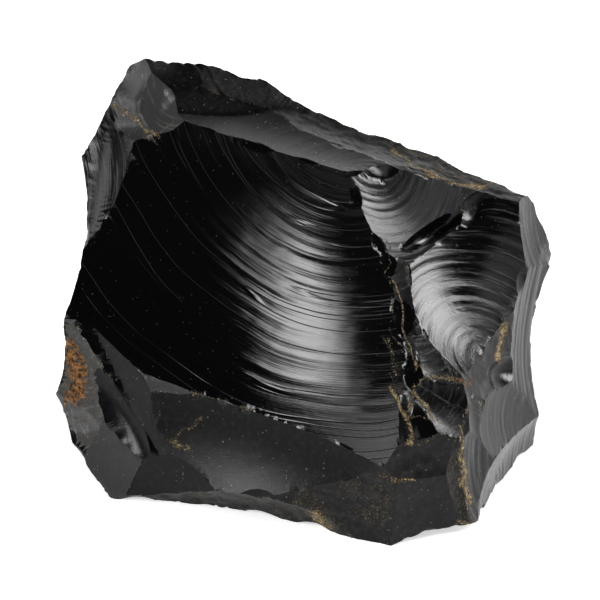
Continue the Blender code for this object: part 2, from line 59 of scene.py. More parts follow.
# %% Driving values of the form
LEAN = np.radians(28.0)  # tilt of the drawing frame about the across axis
HEART = np.array([0.0, -2.0, -12.0])  # a point deep inside the stone
BASE_DROP = 37.5  # height of the drawing frame's origin above the flat base
CENTRE_SHIFT = (-1.25, -6.45)  # centres the stone's box on the origin
FAR = 1000.0  # stands for a facet that a ray never meets


def upright(points):
    """Turns drawing-frame points upright: back = up sin(lean) - out cos(lean), height likewise."""
    across, up, out = points.T
    back = up * np.sin(LEAN) - out * np.cos(LEAN)
    height = up * np.cos(LEAN) + out * np.sin(LEAN) + BASE_DROP
    return np.stack([across + CENTRE_SHIFT[0], back + CENTRE_SHIFT[1], height], axis=1)


print("heart of the stone, upright, in mm:", upright(HEART[None])[0].round(1))

# %% [markdown]
# ## Corners and facets
#
# Each corner is a named point where ridges meet: across, up, out, in millimetres. Each facet lists
# how hollow it is at its middle and the corners round it. This is the whole shape of the stone: the
# surface between the corners follows from a formula. Three short tables then hold what doesn't fit
# that rule: steps, a valley, and facets that bulge. A stone could also be sculpted, or cut from a
# block plane by plane, but a named corner can be moved alone and takes its facets along.

# %% The corners
CORNERS = {
    "knob_l": (-32.8, 48.0, -16.5), "knob_t": (-28.4, 48.8, -17.2), "knob_r": (-24.6, 47.6, -19.2),
    "knob_d": (-20.8, 45.2, -20.0),
}
CORNER_RUNS = {  # named after the first corner of the run, from which the numbers count on
    "back_1": ((-30.0, 30.0, -38.0), (0.0, 26.0, -40.0), (28.0, 17.0, -34.0), (43.0, 0.0, -32.0),
        (38.0, -17.0, -38.0), (-40.0, 15.0, -30.0), (-40.4, -9.0, -34.0), (-37.6, -20.0, -37.0),
        (-26.0, -9.0, -47.0), (20.0, -9.0, -46.0), (14.0, 25.0, -38.0)),
    "brow_1": ((-18.4, 46.4, -24.0), (-14.4, 44.6, -25.0), (-9.4, 43.8, -26.0), (-2.0, 40.0, -24.0),
        (4.0, 38.8, -22.0), (11.6, 34.2, -18.0)),
    "crown_1": ((15.6, 33.8, -15.0), (19.6, 32.6, -13.5), (24.2, 30.2, -12.5), (30.0, 28.6, -14.0),
        (34.8, 26.2, -14.5), (40.4, 25.2, -16.0), (43.2, 23.2, -15.5), (47.0, 22.2, -17.0)),
    "ear_1": ((47.6, 20.8, -17.5), (48.2, 15.4, -18.0), (49.6, 12.4, -19.0), (51.0, 11.0, -20.0),
        (51.2, 7.2, -20.0), (48.0, 0.4, -16.0)),
    "waist_1": ((47.4, -3.4, -16.0), (45.8, -6.8, -13.0)),
    "hip_1": ((47.4, -15.4, -16.0), (48.0, -18.4, -17.0), (46.6, -22.0, -15.0)),
    "toe_1": ((47.8, -25.4, -19.0), (48.0, -29.2, -24.9), (45.4, -31.6, -20.3), (41.8, -34.6, -14.7),
        (39.2, -36.4, -11.3), (37.4, -39.4, -5.6), (36.0, -44.2, 4.6)),
    "sole_1": ((33.6, -46.0, 8.0), (30.0, -45.0, 8.2), (27.8, -45.2, 8.0), (20.8, -48.0, 12.0),
        (18.6, -48.4, 11.4), (8.2, -48.0, 10.4), (1.6, -45.4, 5.7), (-4.0, -43.0, 1.1),
        (-12.8, -41.8, -0.6), (-19.8, -40.8, -2.2), (-27.0, -41.2, -2.3), (-31.4, -41.0, -2.6),
        (-36.2, -41.6, -3.7)),
    "heel_1": ((-38.4, -39.4, -4.0), (-40.2, -36.6, -4.6), (-43.4, -33.0, -7.5), (-44.0, -29.2, -7.4)),
    "cheek_1": ((-46.6, -24.4, -9.5), (-49.0, -20.4, -10.8), (-47.0, -14.0, -8.0), (-46.8, -7.6, -6.5),
        (-47.8, -5.0, -6.5), (-47.2, -1.2, -6.5)),
    "side_1": ((-46.0, 2.2, -6.4), (-44.0, 5.6, -6.9), (-42.2, 9.8, -7.4), (-41.8, 13.4, -7.4),
        (-42.6, 19.0, -11.5), (-43.4, 27.8, -15.5), (-42.4, 32.0, -15.5), (-40.8, 36.0, -15.5),
        (-40.0, 38.0, -15.0), (-37.0, 41.2, -15.0), (-35.4, 43.6, -15.5)),
    "rim_1": ((-37.8, 33.8, -12.8), (-34.0, 34.8, -10.8), (-28.4, 34.4, -9.2), (-24.0, 36.0, -8.4),
        (-16.0, 33.0, -5.2), (-9.2, 31.0, -2.5), (0.0, 28.0, 1.0), (9.6, 26.6, 4.4), (11.6, 19.4, 6.6),
        (14.0, 13.6, 9.0), (16.6, 9.0, 10.9), (17.2, 2.0, 11.8), (17.6, -6.0, 13.4), (18.0, -16.0, 16.0),
        (19.0, -22.0, 19.2), (19.8, -28.0, 20.0), (18.0, -34.4, 20.4), (10.6, -32.8, 18.2),
        (0.0, -25.4, 12.3), (-7.6, -19.8, 8.0), (-13.0, -18.8, 5.8), (-18.4, -18.2, 4.2),
        (-22.8, -16.8, 2.7), (-28.4, -13.4, 0.6), (-33.8, -11.4, -0.2), (-37.0, -8.8, -1.6),
        (-40.8, -4.8, -3.2), (-44.4, -3.8, -4.6)),
    "lip_1": ((-35.8, 26.0, -10.5), (-37.6, 21.6, -9.4), (-38.4, 16.4, -7.8)),
    "top_1": ((-27.0, 40.8, -15.5), (-21.2, 42.8, -18.0), (-16.2, 42.6, -19.0), (-9.8, 39.6, -18.0),
        (-2.0, 37.6, -17.5), (4.4, 34.6, -16.5), (10.0, 32.4, -14.5), (13.8, 28.0, 2.6)),
    "nose_1": ((-30.6, 42.6, -12.5), (-26.0, 42.0, -13.5), (-21.4, 43.0, -16.5)),
    "fan_1": ((19.6, 26.8, 0.2), (24.2, 25.4, -2.8), (29.2, 23.6, -4.8), (35.6, 20.6, -7.2),
        (30.8, 18.0, -3.6), (27.6, 16.0, -0.9), (23.0, 12.8, 3.4), (19.6, 9.6, 7.2)),
    "cleft_1": ((33.2, 16.6, -4.4), (34.8, 18.2, -6.4), (38.2, 18.6, -7.0), (35.0, 14.4, -3.0),
        (30.0, 13.2, 0.2), (24.2, 10.8, 4.6)),
    "scar_1": ((43.8, 17.4, -8.6), (44.8, 10.0, -7.0), (46.0, 4.8, -6.0), (44.8, -0.6, -4.4),
        (42.0, -4.0, -1.4), (39.6, -8.0, 2.6), (34.8, -12.6, 9.4), (33.0, -14.8, 11.6),
        (30.6, -12.4, 12.4), (28.2, -8.0, 12.5), (24.6, -2.8, 12.6), (21.4, 2.0, 11.6), (20.0, 7.6, 9.6)),
    "strip_1": ((41.0, -10.0, -1.0), (43.8, -15.8, -7.0), (46.0, -19.4, -11.0)),
    "pit_1": ((38.4, -12.4, 3.6), (42.4, -12.4, -3.0), (42.0, -16.0, -3.6), (38.2, -17.2, 4.6)),
    "flat_1": ((35.8, -18.8, 9.8), (46.6, -20.8, -12.5), (46.4, -24.8, -14.0), (44.6, -25.6, -10.0),
        (39.6, -28.8, 3.4), (36.4, -28.4, 9.6), (35.4, -23.6, 11.0)),
    "rib_1": ((33.8, -19.4, 13.4), (33.4, -24.0, 13.8), (34.4, -26.6, 13.2), (37.2, -31.6, 9.0),
        (36.8, -36.8, 6.2), (36.0, -40.8, 4.4), (32.8, -39.2, 10.0), (32.2, -34.0, 12.8),
        (32.0, -29.6, 14.6)),
    "pillar_1": ((20.0, 9.0, 8.2), (21.0, -5.0, 13.4), (17.8, 0.0, 13.0), (22.4, -14.2, 17.0),
        (22.0, -15.2, 17.2), (30.4, -13.6, 13.0), (20.0, -6.4, 14.6), (22.2, -9.4, 15.8),
        (22.8, -16.4, 17.4), (29.2, -16.0, 15.0), (32.8, -20.4, 13.8), (33.2, -24.8, 14.0),
        (28.0, -24.0, 17.4), (22.6, -19.8, 18.4), (26.8, -25.4, 18.4), (23.4, -28.0, 19.8),
        (21.6, -25.0, 19.8), (19.6, -19.0, 18.0)),
    "foot_1": ((26.6, -28.0, 18.4), (29.6, -29.8, 17.4), (30.4, -34.0, 15.4), (29.6, -36.2, 14.6),
        (22.6, -35.8, 18.6)),
    "low_1": ((0.8, -33.6, 12.5), (6.0, -37.2, 15.6), (16.0, -35.8, 19.4), (0.8, -39.2, 11.2),
        (-0.2, -30.2, 11.4), (-2.8, -24.8, 10.2), (-9.2, -19.4, 7.2), (-18.6, -19.8, 4.0),
        (-20.2, -21.0, 3.6), (-23.4, -24.0, 2.4), (-24.4, -27.6, 2.6), (-22.4, -32.0, 3.4),
        (-21.2, -38.2, 1.5), (-26.2, -29.4, 1.8), (-31.4, -29.8, -0.4), (-29.2, -28.8, 0.6),
        (-27.0, -19.6, 1.4), (-31.0, -15.2, 0.2)),
    "groove_1": ((-40.8, -7.2, -3.8), (-37.6, -10.8, -3.0), (-34.8, -15.6, -2.2), (-32.2, -20.4, -1.6),
        (-31.2, -24.0, -1.0)),
    "gut_2": ((-42.4, -13.4, -3.5), (-39.6, -14.8, -2.7), (-36.2, -17.2, -2.1), (-33.8, -20.4, -1.5),
        (-32.0, -24.4, -0.9), (-31.8, -27.4, -0.8)),
    "arc_1": ((-40.6, -16.0, -5.4), (-38.0, -21.0, -5.0), (-35.0, -25.0, -3.8)),
    "crust_1": ((-43.4, -8.8, -4.4), (-39.4, -19.6, -4.0), (-39.4, -22.2, -4.0), (-39.4, -24.0, -4.0),
        (-40.6, -26.0, -4.8), (-42.8, -28.0, -6.2), (-46.6, -21.2, -8.6)),
    "calf_1": ((-37.8, -24.4, -3.2), (-34.8, -26.0, -2.0)),
    "notch_1": ((-39.2, 38.2, -14.8), (-35.8, 38.0, -13.0), (-33.8, 36.6, -11.6), (-31.0, 35.8, -10.4),
        (-32.0, 40.6, -12.5), (-28.0, 41.0, -13.0), (-27.6, 38.8, -11.4), (-28.8, 36.4, -9.8)),
    "arch_1": ((25.0, -43.0, 1.1), (32.0, -41.0, -2.6)),
}

for first_name, places in CORNER_RUNS.items():
    stem, number = first_name.split("_")
    CORNERS.update({f"{stem}_{int(number) + i}": place for i, place in enumerate(places)})
print(len(CORNERS), "corners")

# %% The facets: how hollow each is at its middle, and its corners in order
# rim_3:6 stands for rim_3, rim_4, rim_5 and rim_6, and fan_4:1 counts back from fan_4 to fan_1.
FACETS = {
    "main": (3.8, "rim_3:28 side_1 side_3:4"),
    "top_face": (0.7, "top_1:7 rim_4:8 top_8"),
    "top_back": (0.4, "brow_1 brow_3:6 top_7:3"),
    "knob": (0.4, "knob_l knob_t knob_r knob_d nose_3:1"),
    "top_right": (0.4, "crown_1:2 crown_4 crown_6:7 fan_4:1 top_8"),
    "fan": (1.0, "rim_8 top_8 fan_1:8 rim_11:9"),
    "cleft": (2.6, "fan_8:5 cleft_1 cleft_5:6"),
    "cleft_b": (1.0, "cleft_2:4 cleft_1"),
    "right_scar": (2.0, "fan_8 cleft_6:3 scar_1:13"),
    "edge_top": (0.5, "scar_1 crown_8 ear_2:3 scar_3:2"),
    "edge_mid": (0.6, "ear_3:5 scar_3"),
    "edge_strip": (0.8, "scar_3 ear_5:6 waist_1:2 hip_1:2 strip_3:1 scar_5:4"),
    "pit": (1.6, "pit_1:4"),
    "shoulder": (0.4, "scar_6 strip_1 pit_1 pit_4 flat_1 scar_8:7"),
    "side_flat": (0.8, "flat_1 strip_2 flat_2:7"),
    "side_low": (1.2, "rib_4 flat_5:4 toe_1:7 rib_5"),
    "side_strip": (0.3, "scar_8 flat_1 flat_7:6 rib_3:1"),
    "column": (0.6, "rib_3 flat_6 rib_4:6 sole_1 rib_7:9"),
    "waist_top": (0.2, "rim_11 pillar_1 scar_13 pillar_2:3 rim_12"),
    "waist": (0.6, "scar_12:9 pillar_6 pillar_4 pillar_2"),
    "waist_low": (0.4, "rim_13 pillar_7:8 pillar_5 pillar_18 rim_14"),
    "dark_flat": (0.7, "pillar_9:14"),
    "tri": (0.7, "pillar_14:17"),
    "gold_strip": (0.3, "rim_14 pillar_18:16 rim_16:15"),
    "foot_facet": (0.5, "rim_16 pillar_16 foot_1:5 rim_17"),
    "foot_side": (0.5, "foot_2 rib_9:7 sole_1:2 foot_4:3"),
    "front_low": (0.3, "rim_17 sole_5:7 low_4 low_2:3"),
    "front_right": (0.4, "rim_17 foot_5:4 sole_3:5"),
    "crescent": (0.4, "low_7 rim_20:18 low_3:1 low_5:6"),
    "belly": (0.9, "low_8 rim_21 low_7:5 low_1 low_4 low_13:9"),
    "under": (1.0, "low_13 low_4 sole_10:7"),
    "under_right": (0.3, "sole_4:2 arch_1:2"),
    "belly_left": (0.6, "low_15:14 low_12:13 sole_11:12"),
    "blade": (0.25, "rim_25:22 low_8:11 low_17:18"),
    "band": (0.1, "rim_27:25 low_18:17 low_11 low_14 low_16 groove_5:1"),
    "furrow": (0.1, "crust_1 groove_1:5 gut_7:2"),
    "crescent_left": (0.9, "gut_2:7 arc_3:1"),
    "crust_face": (0.5, "cheek_4 crust_1 gut_2 arc_1 crust_2:3 crust_7 cheek_2:3"),
    "streaked": (0.5, "cheek_2 crust_7 crust_3:6 heel_4 cheek_1"),
    "lower_left": (0.5, "crust_6:5 calf_1:2 low_15 sole_12:13 heel_2:4"),
    "left_strip": (0.6, "side_8 rim_1 lip_1:3 side_4:6"),
    "notch_a": (0.4, "side_10 knob_l nose_1 notch_5 notch_2"),
    "notch_b": (0.4, "notch_4 notch_8:5"),
    "notch_c": (0.4, "notch_1 side_10 notch_5 notch_3:2"),
    "notch_d": (0.4, "side_8:9 notch_2:4 rim_2:1"),
    "rear_1": (0.3, "knob_l knob_t knob_r back_1"),
    "rear_2": (0.3, "knob_r knob_d brow_1:3 back_1:2"),
    "rear_3": (0.5, "brow_3:5 back_2"),
    "rear_4": (0.5, "brow_5:6 crown_1 back_2 back_11"),
    "rear_5": (0.3, "crown_1:4 back_11 back_3"),
    "rear_6": (0.4, "crown_4:6 crown_8 back_3"),
    "rear_7": (0.5, "crown_8 ear_1:2 back_3:4"),
    "rear_8": (0.5, "ear_3:5 back_4"),
    "rear_9": (2.6, "ear_5:6 waist_1:2 hip_1:2 back_4:5"),
    "rear_10": (0.8, "hip_2:3 toe_1:2 back_5"),
    "rear_11": (0.3, "knob_l side_11:9 back_1 back_6"),
    "rear_12": (0.4, "side_9:6 back_6"),
    "rear_13": (1.8, "side_6:1 cheek_6 back_6:7"),
    "rear_14": (1.2, "cheek_5:2 back_7"),
    "rear_15": (0.6, "cheek_2:1 heel_4 back_7:8"),
    "rear_16": (0.2, "heel_4:1 sole_13 back_8"),
    "rear_17": (1.5, "back_1:2 back_9:10"),
    "rear_18": (1.0, "back_1 back_6:7 back_9"),
    "rear_19": (0.6, "back_2:3 back_10"),
    "rear_20": (1.0, "back_3:5 back_10"),
    "rear_21": (0.5, "back_7:9"),
}


def spelled_out(text):
    """The names of a facet's corners, with a run such as rim_3:6 written out in full."""
    names = []
    for word in text.split():
        stem, _, run = word.partition("_")
        first, _, last = run.partition(":")
        if last:
            way = 1 if int(last) > int(first) else -1
            names += [f"{stem}_{i}" for i in range(int(first), int(last) + way, way)]
        else:
            names.append(word)
    return names


FACETS = {name: (hollow, spelled_out(text)) for name, (hollow, text) in FACETS.items()}
FACET_NAMES = list(FACETS)
ROW_OF = {name: row for row, name in enumerate(FACETS)}
BASE = len(FACETS)  # the row of the flat base
print(len(FACETS), "facets, the main one with", len(FACETS["main"][1]), "corners")

# %% Facets that don't just meet in a ridge
STEPPED = {"top_face": "knob", "top_back": "knob"}  # facets that end where the other rises as a step
VALLEYS = {"furrow": "band"}  # a floor, seen only where it lies farther out than the slope beside it
PROUD = {  # facets that stand outside their corners' mean plane, by so many millimetres
    "rear_2": 0.6, "rear_3": 0.6, "rear_4": 1.6, "rear_5": 1.5, "rear_6": 1.9, "rear_7": 1.1,
    "rear_8": 1.4, "rear_9": 0.8, "rear_10": 1.5, "rear_11": 1.1, "rear_12": 1.0, "rear_13": 1.2,
    "rear_14": 0.9, "rear_15": 1.0, "rear_16": 0.9, "knob": 1.2, "under": 0.5, "side_low": 0.4,
    "edge_mid": 0.4,
}
print(len(STEPPED), "facets end at a step and", len(PROUD), "stand proud")

# %% [markdown]
# ## A facet is a shallow bowl
#
# The plane that fits a facet's corners best has their mean as its centre, and as its normal the
# direction in which they scatter least: an eigenvector of their covariance. The facet is dished
# below that plane by a paraboloid, deepest at the middle. A patch stitched through the corners would
# show its triangles in the reflections, while a formula stays smooth however fine the grid is. All
# the bowls become rows of one array, so that numpy can meet every ray with every bowl at once.

# %% Facets to bowls
NARROWEST = 0.01  # least mean square spread across a facet, as a share of that along it
NARROWEST_REAR = 0.12
BASE_SPREAD = 900.0  # any number would do, as the base isn't dished


def unit(vectors):
    """The vectors, each divided by its own length."""
    return vectors / np.linalg.norm(vectors, axis=-1, keepdims=True)


def bowl(centre, normal, first_axis, spread_1, spread_2, hollow):
    """One row: centre, normal, two axes in the plane, mean square spread along each, depth."""
    second_axis = np.cross(normal, first_axis)
    return np.concatenate([centre, normal, first_axis, second_axis, [spread_1, spread_2, hollow]])


def facet_bowl(name):
    """The best plane through a facet's corners, dished by the facet's hollow."""
    hollow, corner_names = FACETS[name]
    corners = np.array([CORNERS[corner] for corner in corner_names])
    centre = corners.mean(axis=0)
    spreads, axes = np.linalg.eigh(np.cov((corners - centre).T, bias=True))
    normal = axes[:, 0] * np.sign(axes[:, 0] @ (centre - HEART))
    centre = centre + normal * PROUD.get(name, 0.0)
    narrowest = NARROWEST_REAR if name.startswith("rear") else NARROWEST
    return bowl(centre, normal, axes[:, 2], spreads[2], max(spreads[1], narrowest * spreads[2]), hollow)


def base_bowl():
    """The flat base, square to the true vertical."""
    down = np.array([0.0, -np.cos(LEAN), -np.sin(LEAN)])
    return bowl(down * BASE_DROP, down, np.array([1.0, 0.0, 0.0]), BASE_SPREAD, BASE_SPREAD, 0.0)


plain_bowls = np.array([facet_bowl(name) for name in FACETS] + [base_bowl()])
print("bowls:", plain_bowls.shape)

# %% [markdown]
# ## Where a ray meets a bowl
#
# At a distance t along a ray the height over a bowl is rest + slope t - bend t t. Its first zero is
# -2 rest / (slope + root), where root squared is slope squared + 4 bend rest. Written this way it
# also holds for a flat facet, whose bend is nought, with no division by nought.

# %% Distances along rays
TINY = 1e-6
BATCH = 4000  # rays worked out at a time, to spare memory


def dot(a, b):
    """Dot products along the last axis."""
    return np.einsum("...i,...i->...", a, b)


def meet(rays, rows):
    """Distance along each ray to its bowl. rays and rows broadcast against each other."""
    centre, normal, axis_1, axis_2 = (rows[..., i : i + 3] for i in (0, 3, 6, 9))
    spread_1, spread_2, hollow = rows[..., 12], rows[..., 13], rows[..., 14]
    start = HEART - centre
    p_start, q_start = dot(start, axis_1), dot(start, axis_2)
    p_ray, q_ray = dot(rays, axis_1), dot(rays, axis_2)
    rest = dot(start, normal) + hollow * (1 - (p_start**2 / spread_1 + q_start**2 / spread_2) / 2)
    slope = dot(rays, normal) - hollow * (p_start * p_ray / spread_1 + q_start * q_ray / spread_2)
    bend = hollow * (p_ray**2 / spread_1 + q_ray**2 / spread_2) / 2
    root_squared = slope**2 + 4 * bend * rest
    below = slope + np.sqrt(np.maximum(root_squared, 0))
    met = (root_squared >= 0) & (below > 1e-9) & (rest < 0)
    return np.where(met, -2 * rest / np.where(met, below, 1), FAR)


def cut_at(step, rays, bowls, reach):
    """The distances, put out to the mean plane of the facet named step where they end inside it."""
    row = bowls[ROW_OF[step]]
    rest = (HEART - row[:3]) @ row[3:6]
    slope = rays @ row[3:6]
    wall = np.where(slope > TINY, -rest / np.maximum(slope, TINY), FAR)
    return np.where((rest + slope * reach < 0) & (reach < FAR), wall, reach)


def meet_facets(rays, bowls, facets):
    """Distance along each ray to the numbered facet, with the stepped facets cut at their step."""
    reach = meet(rays, bowls[facets])
    for name, step in STEPPED.items():
        reach = np.where(facets == ROW_OF[name], cut_at(step, rays, bowls, reach), reach)
    return reach


def nearest(rays, bowls, count):
    """The numbers of the nearest facets of each ray, nearest first, worked out in batches."""
    found = []
    for batch in np.array_split(rays, max(1, len(rays) // BATCH)):
        reach = meet(batch[:, None, :], bowls[None, :, :])
        for name, step in STEPPED.items():
            reach[:, ROW_OF[name]] = cut_at(step, batch, bowls, reach[:, ROW_OF[name]])
        for floor_name, slope_name in VALLEYS.items():
            floor_row, slope_row = ROW_OF[floor_name], ROW_OF[slope_name]
            floor_shows = reach[:, floor_row] > reach[:, slope_row]
            reach[floor_shows, slope_row] = FAR
            reach[~floor_shows, floor_row] = FAR
        found.append(np.argsort(reach, axis=1)[:, :count])
    return np.concatenate(found)


ahead = nearest(np.array([[0.0, 0.0, 1.0]]), plain_bowls, 1)[0, 0]
print("straight ahead of the heart lies the facet", FACET_NAMES[ahead])

# %% [markdown]
# ## Sliding points onto the ridges
#
# The points of a grid seldom fall on a ridge, and a ridge that runs between points looks like a saw.
# So a ray that passes close to a ridge is turned a little, until it meets it. Smaller cells would
# hide the saw too, but at many times the cost.

# %% Slide onto the ridges
SNAP_REACH = 0.52  # furthest a point slides to reach a ridge, as a share of a cell
NUDGE = 1e-4  # small turn of a ray, to measure how fast the gap changes


def slide_to_ridges(rays, bowls, cell, reach_of):
    """Turns the rays that pass close to a ridge until they meet it.

    The gap is the difference in distance between the two nearest facets. One Newton step takes it
    to nought: the turn is minus the gap times its gradient over the gradient squared.
    """
    pair = nearest(rays, bowls, 2)

    def gap(turned):
        turned = unit(turned)
        return reach_of(turned, bowls, pair[:, 1]) - reach_of(turned, bowls, pair[:, 0])

    side = unit(np.cross(rays, np.where(np.abs(rays[:, 2:]) < 0.9, [[0, 0, 1.0]], [[1.0, 0, 0]])))
    other = np.cross(rays, side)
    here = gap(rays)
    slope_1 = (gap(rays + NUDGE * side) - here) / NUDGE
    slope_2 = (gap(rays + NUDGE * other) - here) / NUDGE
    steep = slope_1**2 + slope_2**2 + 1e-12
    turn = -here[:, None] * (slope_1[:, None] * side + slope_2[:, None] * other) / steep[:, None]
    close = (np.linalg.norm(turn, axis=1) < SNAP_REACH * cell) & (np.abs(here) < FAR / 2)
    return unit(rays + np.where(close[:, None], turn, 0))


print("a point slides by up to", SNAP_REACH, "of a cell")

# %% [markdown]
# ## Chips along the ridges
#
# Sharp glass edges are bruised. Random rays are slid onto the nearest ridge, thinned out, and each
# keeps a small deep bowl. Boolean cuts could bite them out, but here a chip is only one more row of
# the array. The seed and the sizes are those of the solid, so that the bites fall in the same places.

# %% The chips
CHIPS = 60
CHIP_SEED = 7
CHIP_SIZE = (1.2, 3.2)  # smallest and largest, in mm
CHIP_TRIES = 3000  # rays thrown at random
CHIP_CELL = 0.06  # stands for the size of a cell when those rays slide
CHIP_SPACE = 5.0  # least distance between two chips, in mm
ON_RIDGE = 0.05  # the two nearest facets are as close as this on a ridge, in mm
RIDGE_BENDS = (-0.9, 0.75)  # cosine between their normals: not folded back, not nearly flat
CHIP_TILT = 0.25
CHIP_NARROW = 0.6  # mean square spread across a chip, as a share of that along it
CHIP_DEPTH = 0.28  # as a share of the size


def chip_bowls(bowls):
    """Small bites on the ridges: random rays are slid onto the nearest ridge, then thinned out."""
    chance = np.random.default_rng(CHIP_SEED)
    rays = unit(chance.normal(size=(CHIP_TRIES, 3)))
    rays = slide_to_ridges(rays, bowls, np.full(len(rays), CHIP_CELL), meet_facets)
    first, second = nearest(rays, bowls, 2).T
    near_1, near_2 = meet_facets(rays, bowls, first), meet_facets(rays, bowls, second)
    points = HEART + rays * near_1[:, None]
    bend = dot(bowls[first, 3:6], bowls[second, 3:6])
    on_edge = (near_2 - near_1 < ON_RIDGE) & (bend < RIDGE_BENDS[1]) & (bend > RIDGE_BENDS[0])
    chips, taken = [], []
    for i in np.flatnonzero(on_edge):
        if len(chips) == CHIPS:
            break
        if taken and np.linalg.norm(np.array(taken) - points[i], axis=1).min() < CHIP_SPACE:
            continue
        radius = chance.uniform(*CHIP_SIZE)
        outward = unit(bowls[first[i], 3:6] + bowls[second[i], 3:6] + CHIP_TILT * chance.normal(size=3))
        along = unit(np.cross(outward, chance.normal(size=3)))
        spread = radius**2
        taken.append(points[i])
        chips.append(bowl(points[i], outward, along, spread, CHIP_NARROW * spread, CHIP_DEPTH * radius))
    return np.array(chips)


chips = chip_bowls(plain_bowls)
bowls = np.concatenate([plain_bowls, chips])
print(len(chips), "chips, the first at", chips[0, :3].round(2))

# %% [markdown]
# ## Ripples and rough edges
#
# The crack front that opened each facet left rings round the point that was struck. A ring's height
# is a wave of the distance to that point, swollen and faded by slow random noise, so that no two
# rings are alike. The ridges are bruised by a depth that changes from cell to cell of a random
# pattern. Both need random numbers that depend on the place alone. Blender's own noise would do, but
# a few lines of numpy work on all points at once and give the same numbers every time.

# %% Random fields
ALL_POSITIVE = 1000.0  # added to places, so that the cells of space have no negative numbers


def lattice(cells, seed):
    """A random number between 0 and 1 for each whole-numbered cell of space, the same every time.

    The large odd factors only stir the bits of the cell's numbers and of the seed.
    """
    x, y, z = (cells[..., i].astype(np.uint64) for i in range(3))
    mixed = x * np.uint64(73856093) ^ y * np.uint64(19349663) ^ z * np.uint64(83492791)
    mixed = (mixed ^ np.uint64(seed * 2654435761 + 97)) * np.uint64(6364136223846793005)
    mixed = (mixed ^ (mixed >> np.uint64(29))) * np.uint64(1442695040888963407)
    return (mixed >> np.uint64(40)).astype(float) / float(1 << 24)


def noise(points, size, seed):
    """Smooth noise from -1 to 1 with lumps of the given size: eight cell corners, blended."""
    scaled = points / size + ALL_POSITIVE
    low = np.floor(scaled)
    share = scaled - low
    share = share * share * (3 - 2 * share)
    total = np.zeros(len(points))
    for corner in np.ndindex(2, 2, 2):
        weight = np.prod(np.where(corner, share, 1 - share), axis=1)
        total += weight * lattice(low + np.array(corner), seed)
    return 2 * total - 1


def layered(points, layers):
    """Noises of several sizes, each times its own height, added up."""
    return sum(height * noise(points, size, seed) for height, size, seed in layers)


def cell_pattern(points, size, seed):
    """The random number of the nearest of a set of scattered seeds, one seed in each cell."""
    scaled = points / size + ALL_POSITIVE
    low = np.floor(scaled)
    best = np.full(len(points), FAR)
    value = np.zeros(len(points))
    for step in np.ndindex(3, 3, 3):
        cell = low + np.array(step) - 1
        centre = cell + np.stack([lattice(cell, seed + k) for k in range(3)], axis=1)
        away = np.linalg.norm(scaled - centre, axis=1)
        closer = away < best
        best = np.where(closer, away, best)
        value = np.where(closer, lattice(cell, seed + 5), value)
    return value


sample = np.random.default_rng(1).uniform(-40, 40, (2000, 3))
print("noise runs from", noise(sample, 6.0, 3).min().round(2), "to", noise(sample, 6.0, 3).max().round(2))

# %% [markdown]
# ## How each facet was struck
#
# For each facet: the point that the blow came from, the spacing of its rings in millimetres, their
# height, how frosted the glass is, and how strongly fine scratches run away from the blow. Rings
# could be painted facet by facet, but one struck point gives a facet all of its rings. A facet that
# isn't named gets soft rings round its first corner.

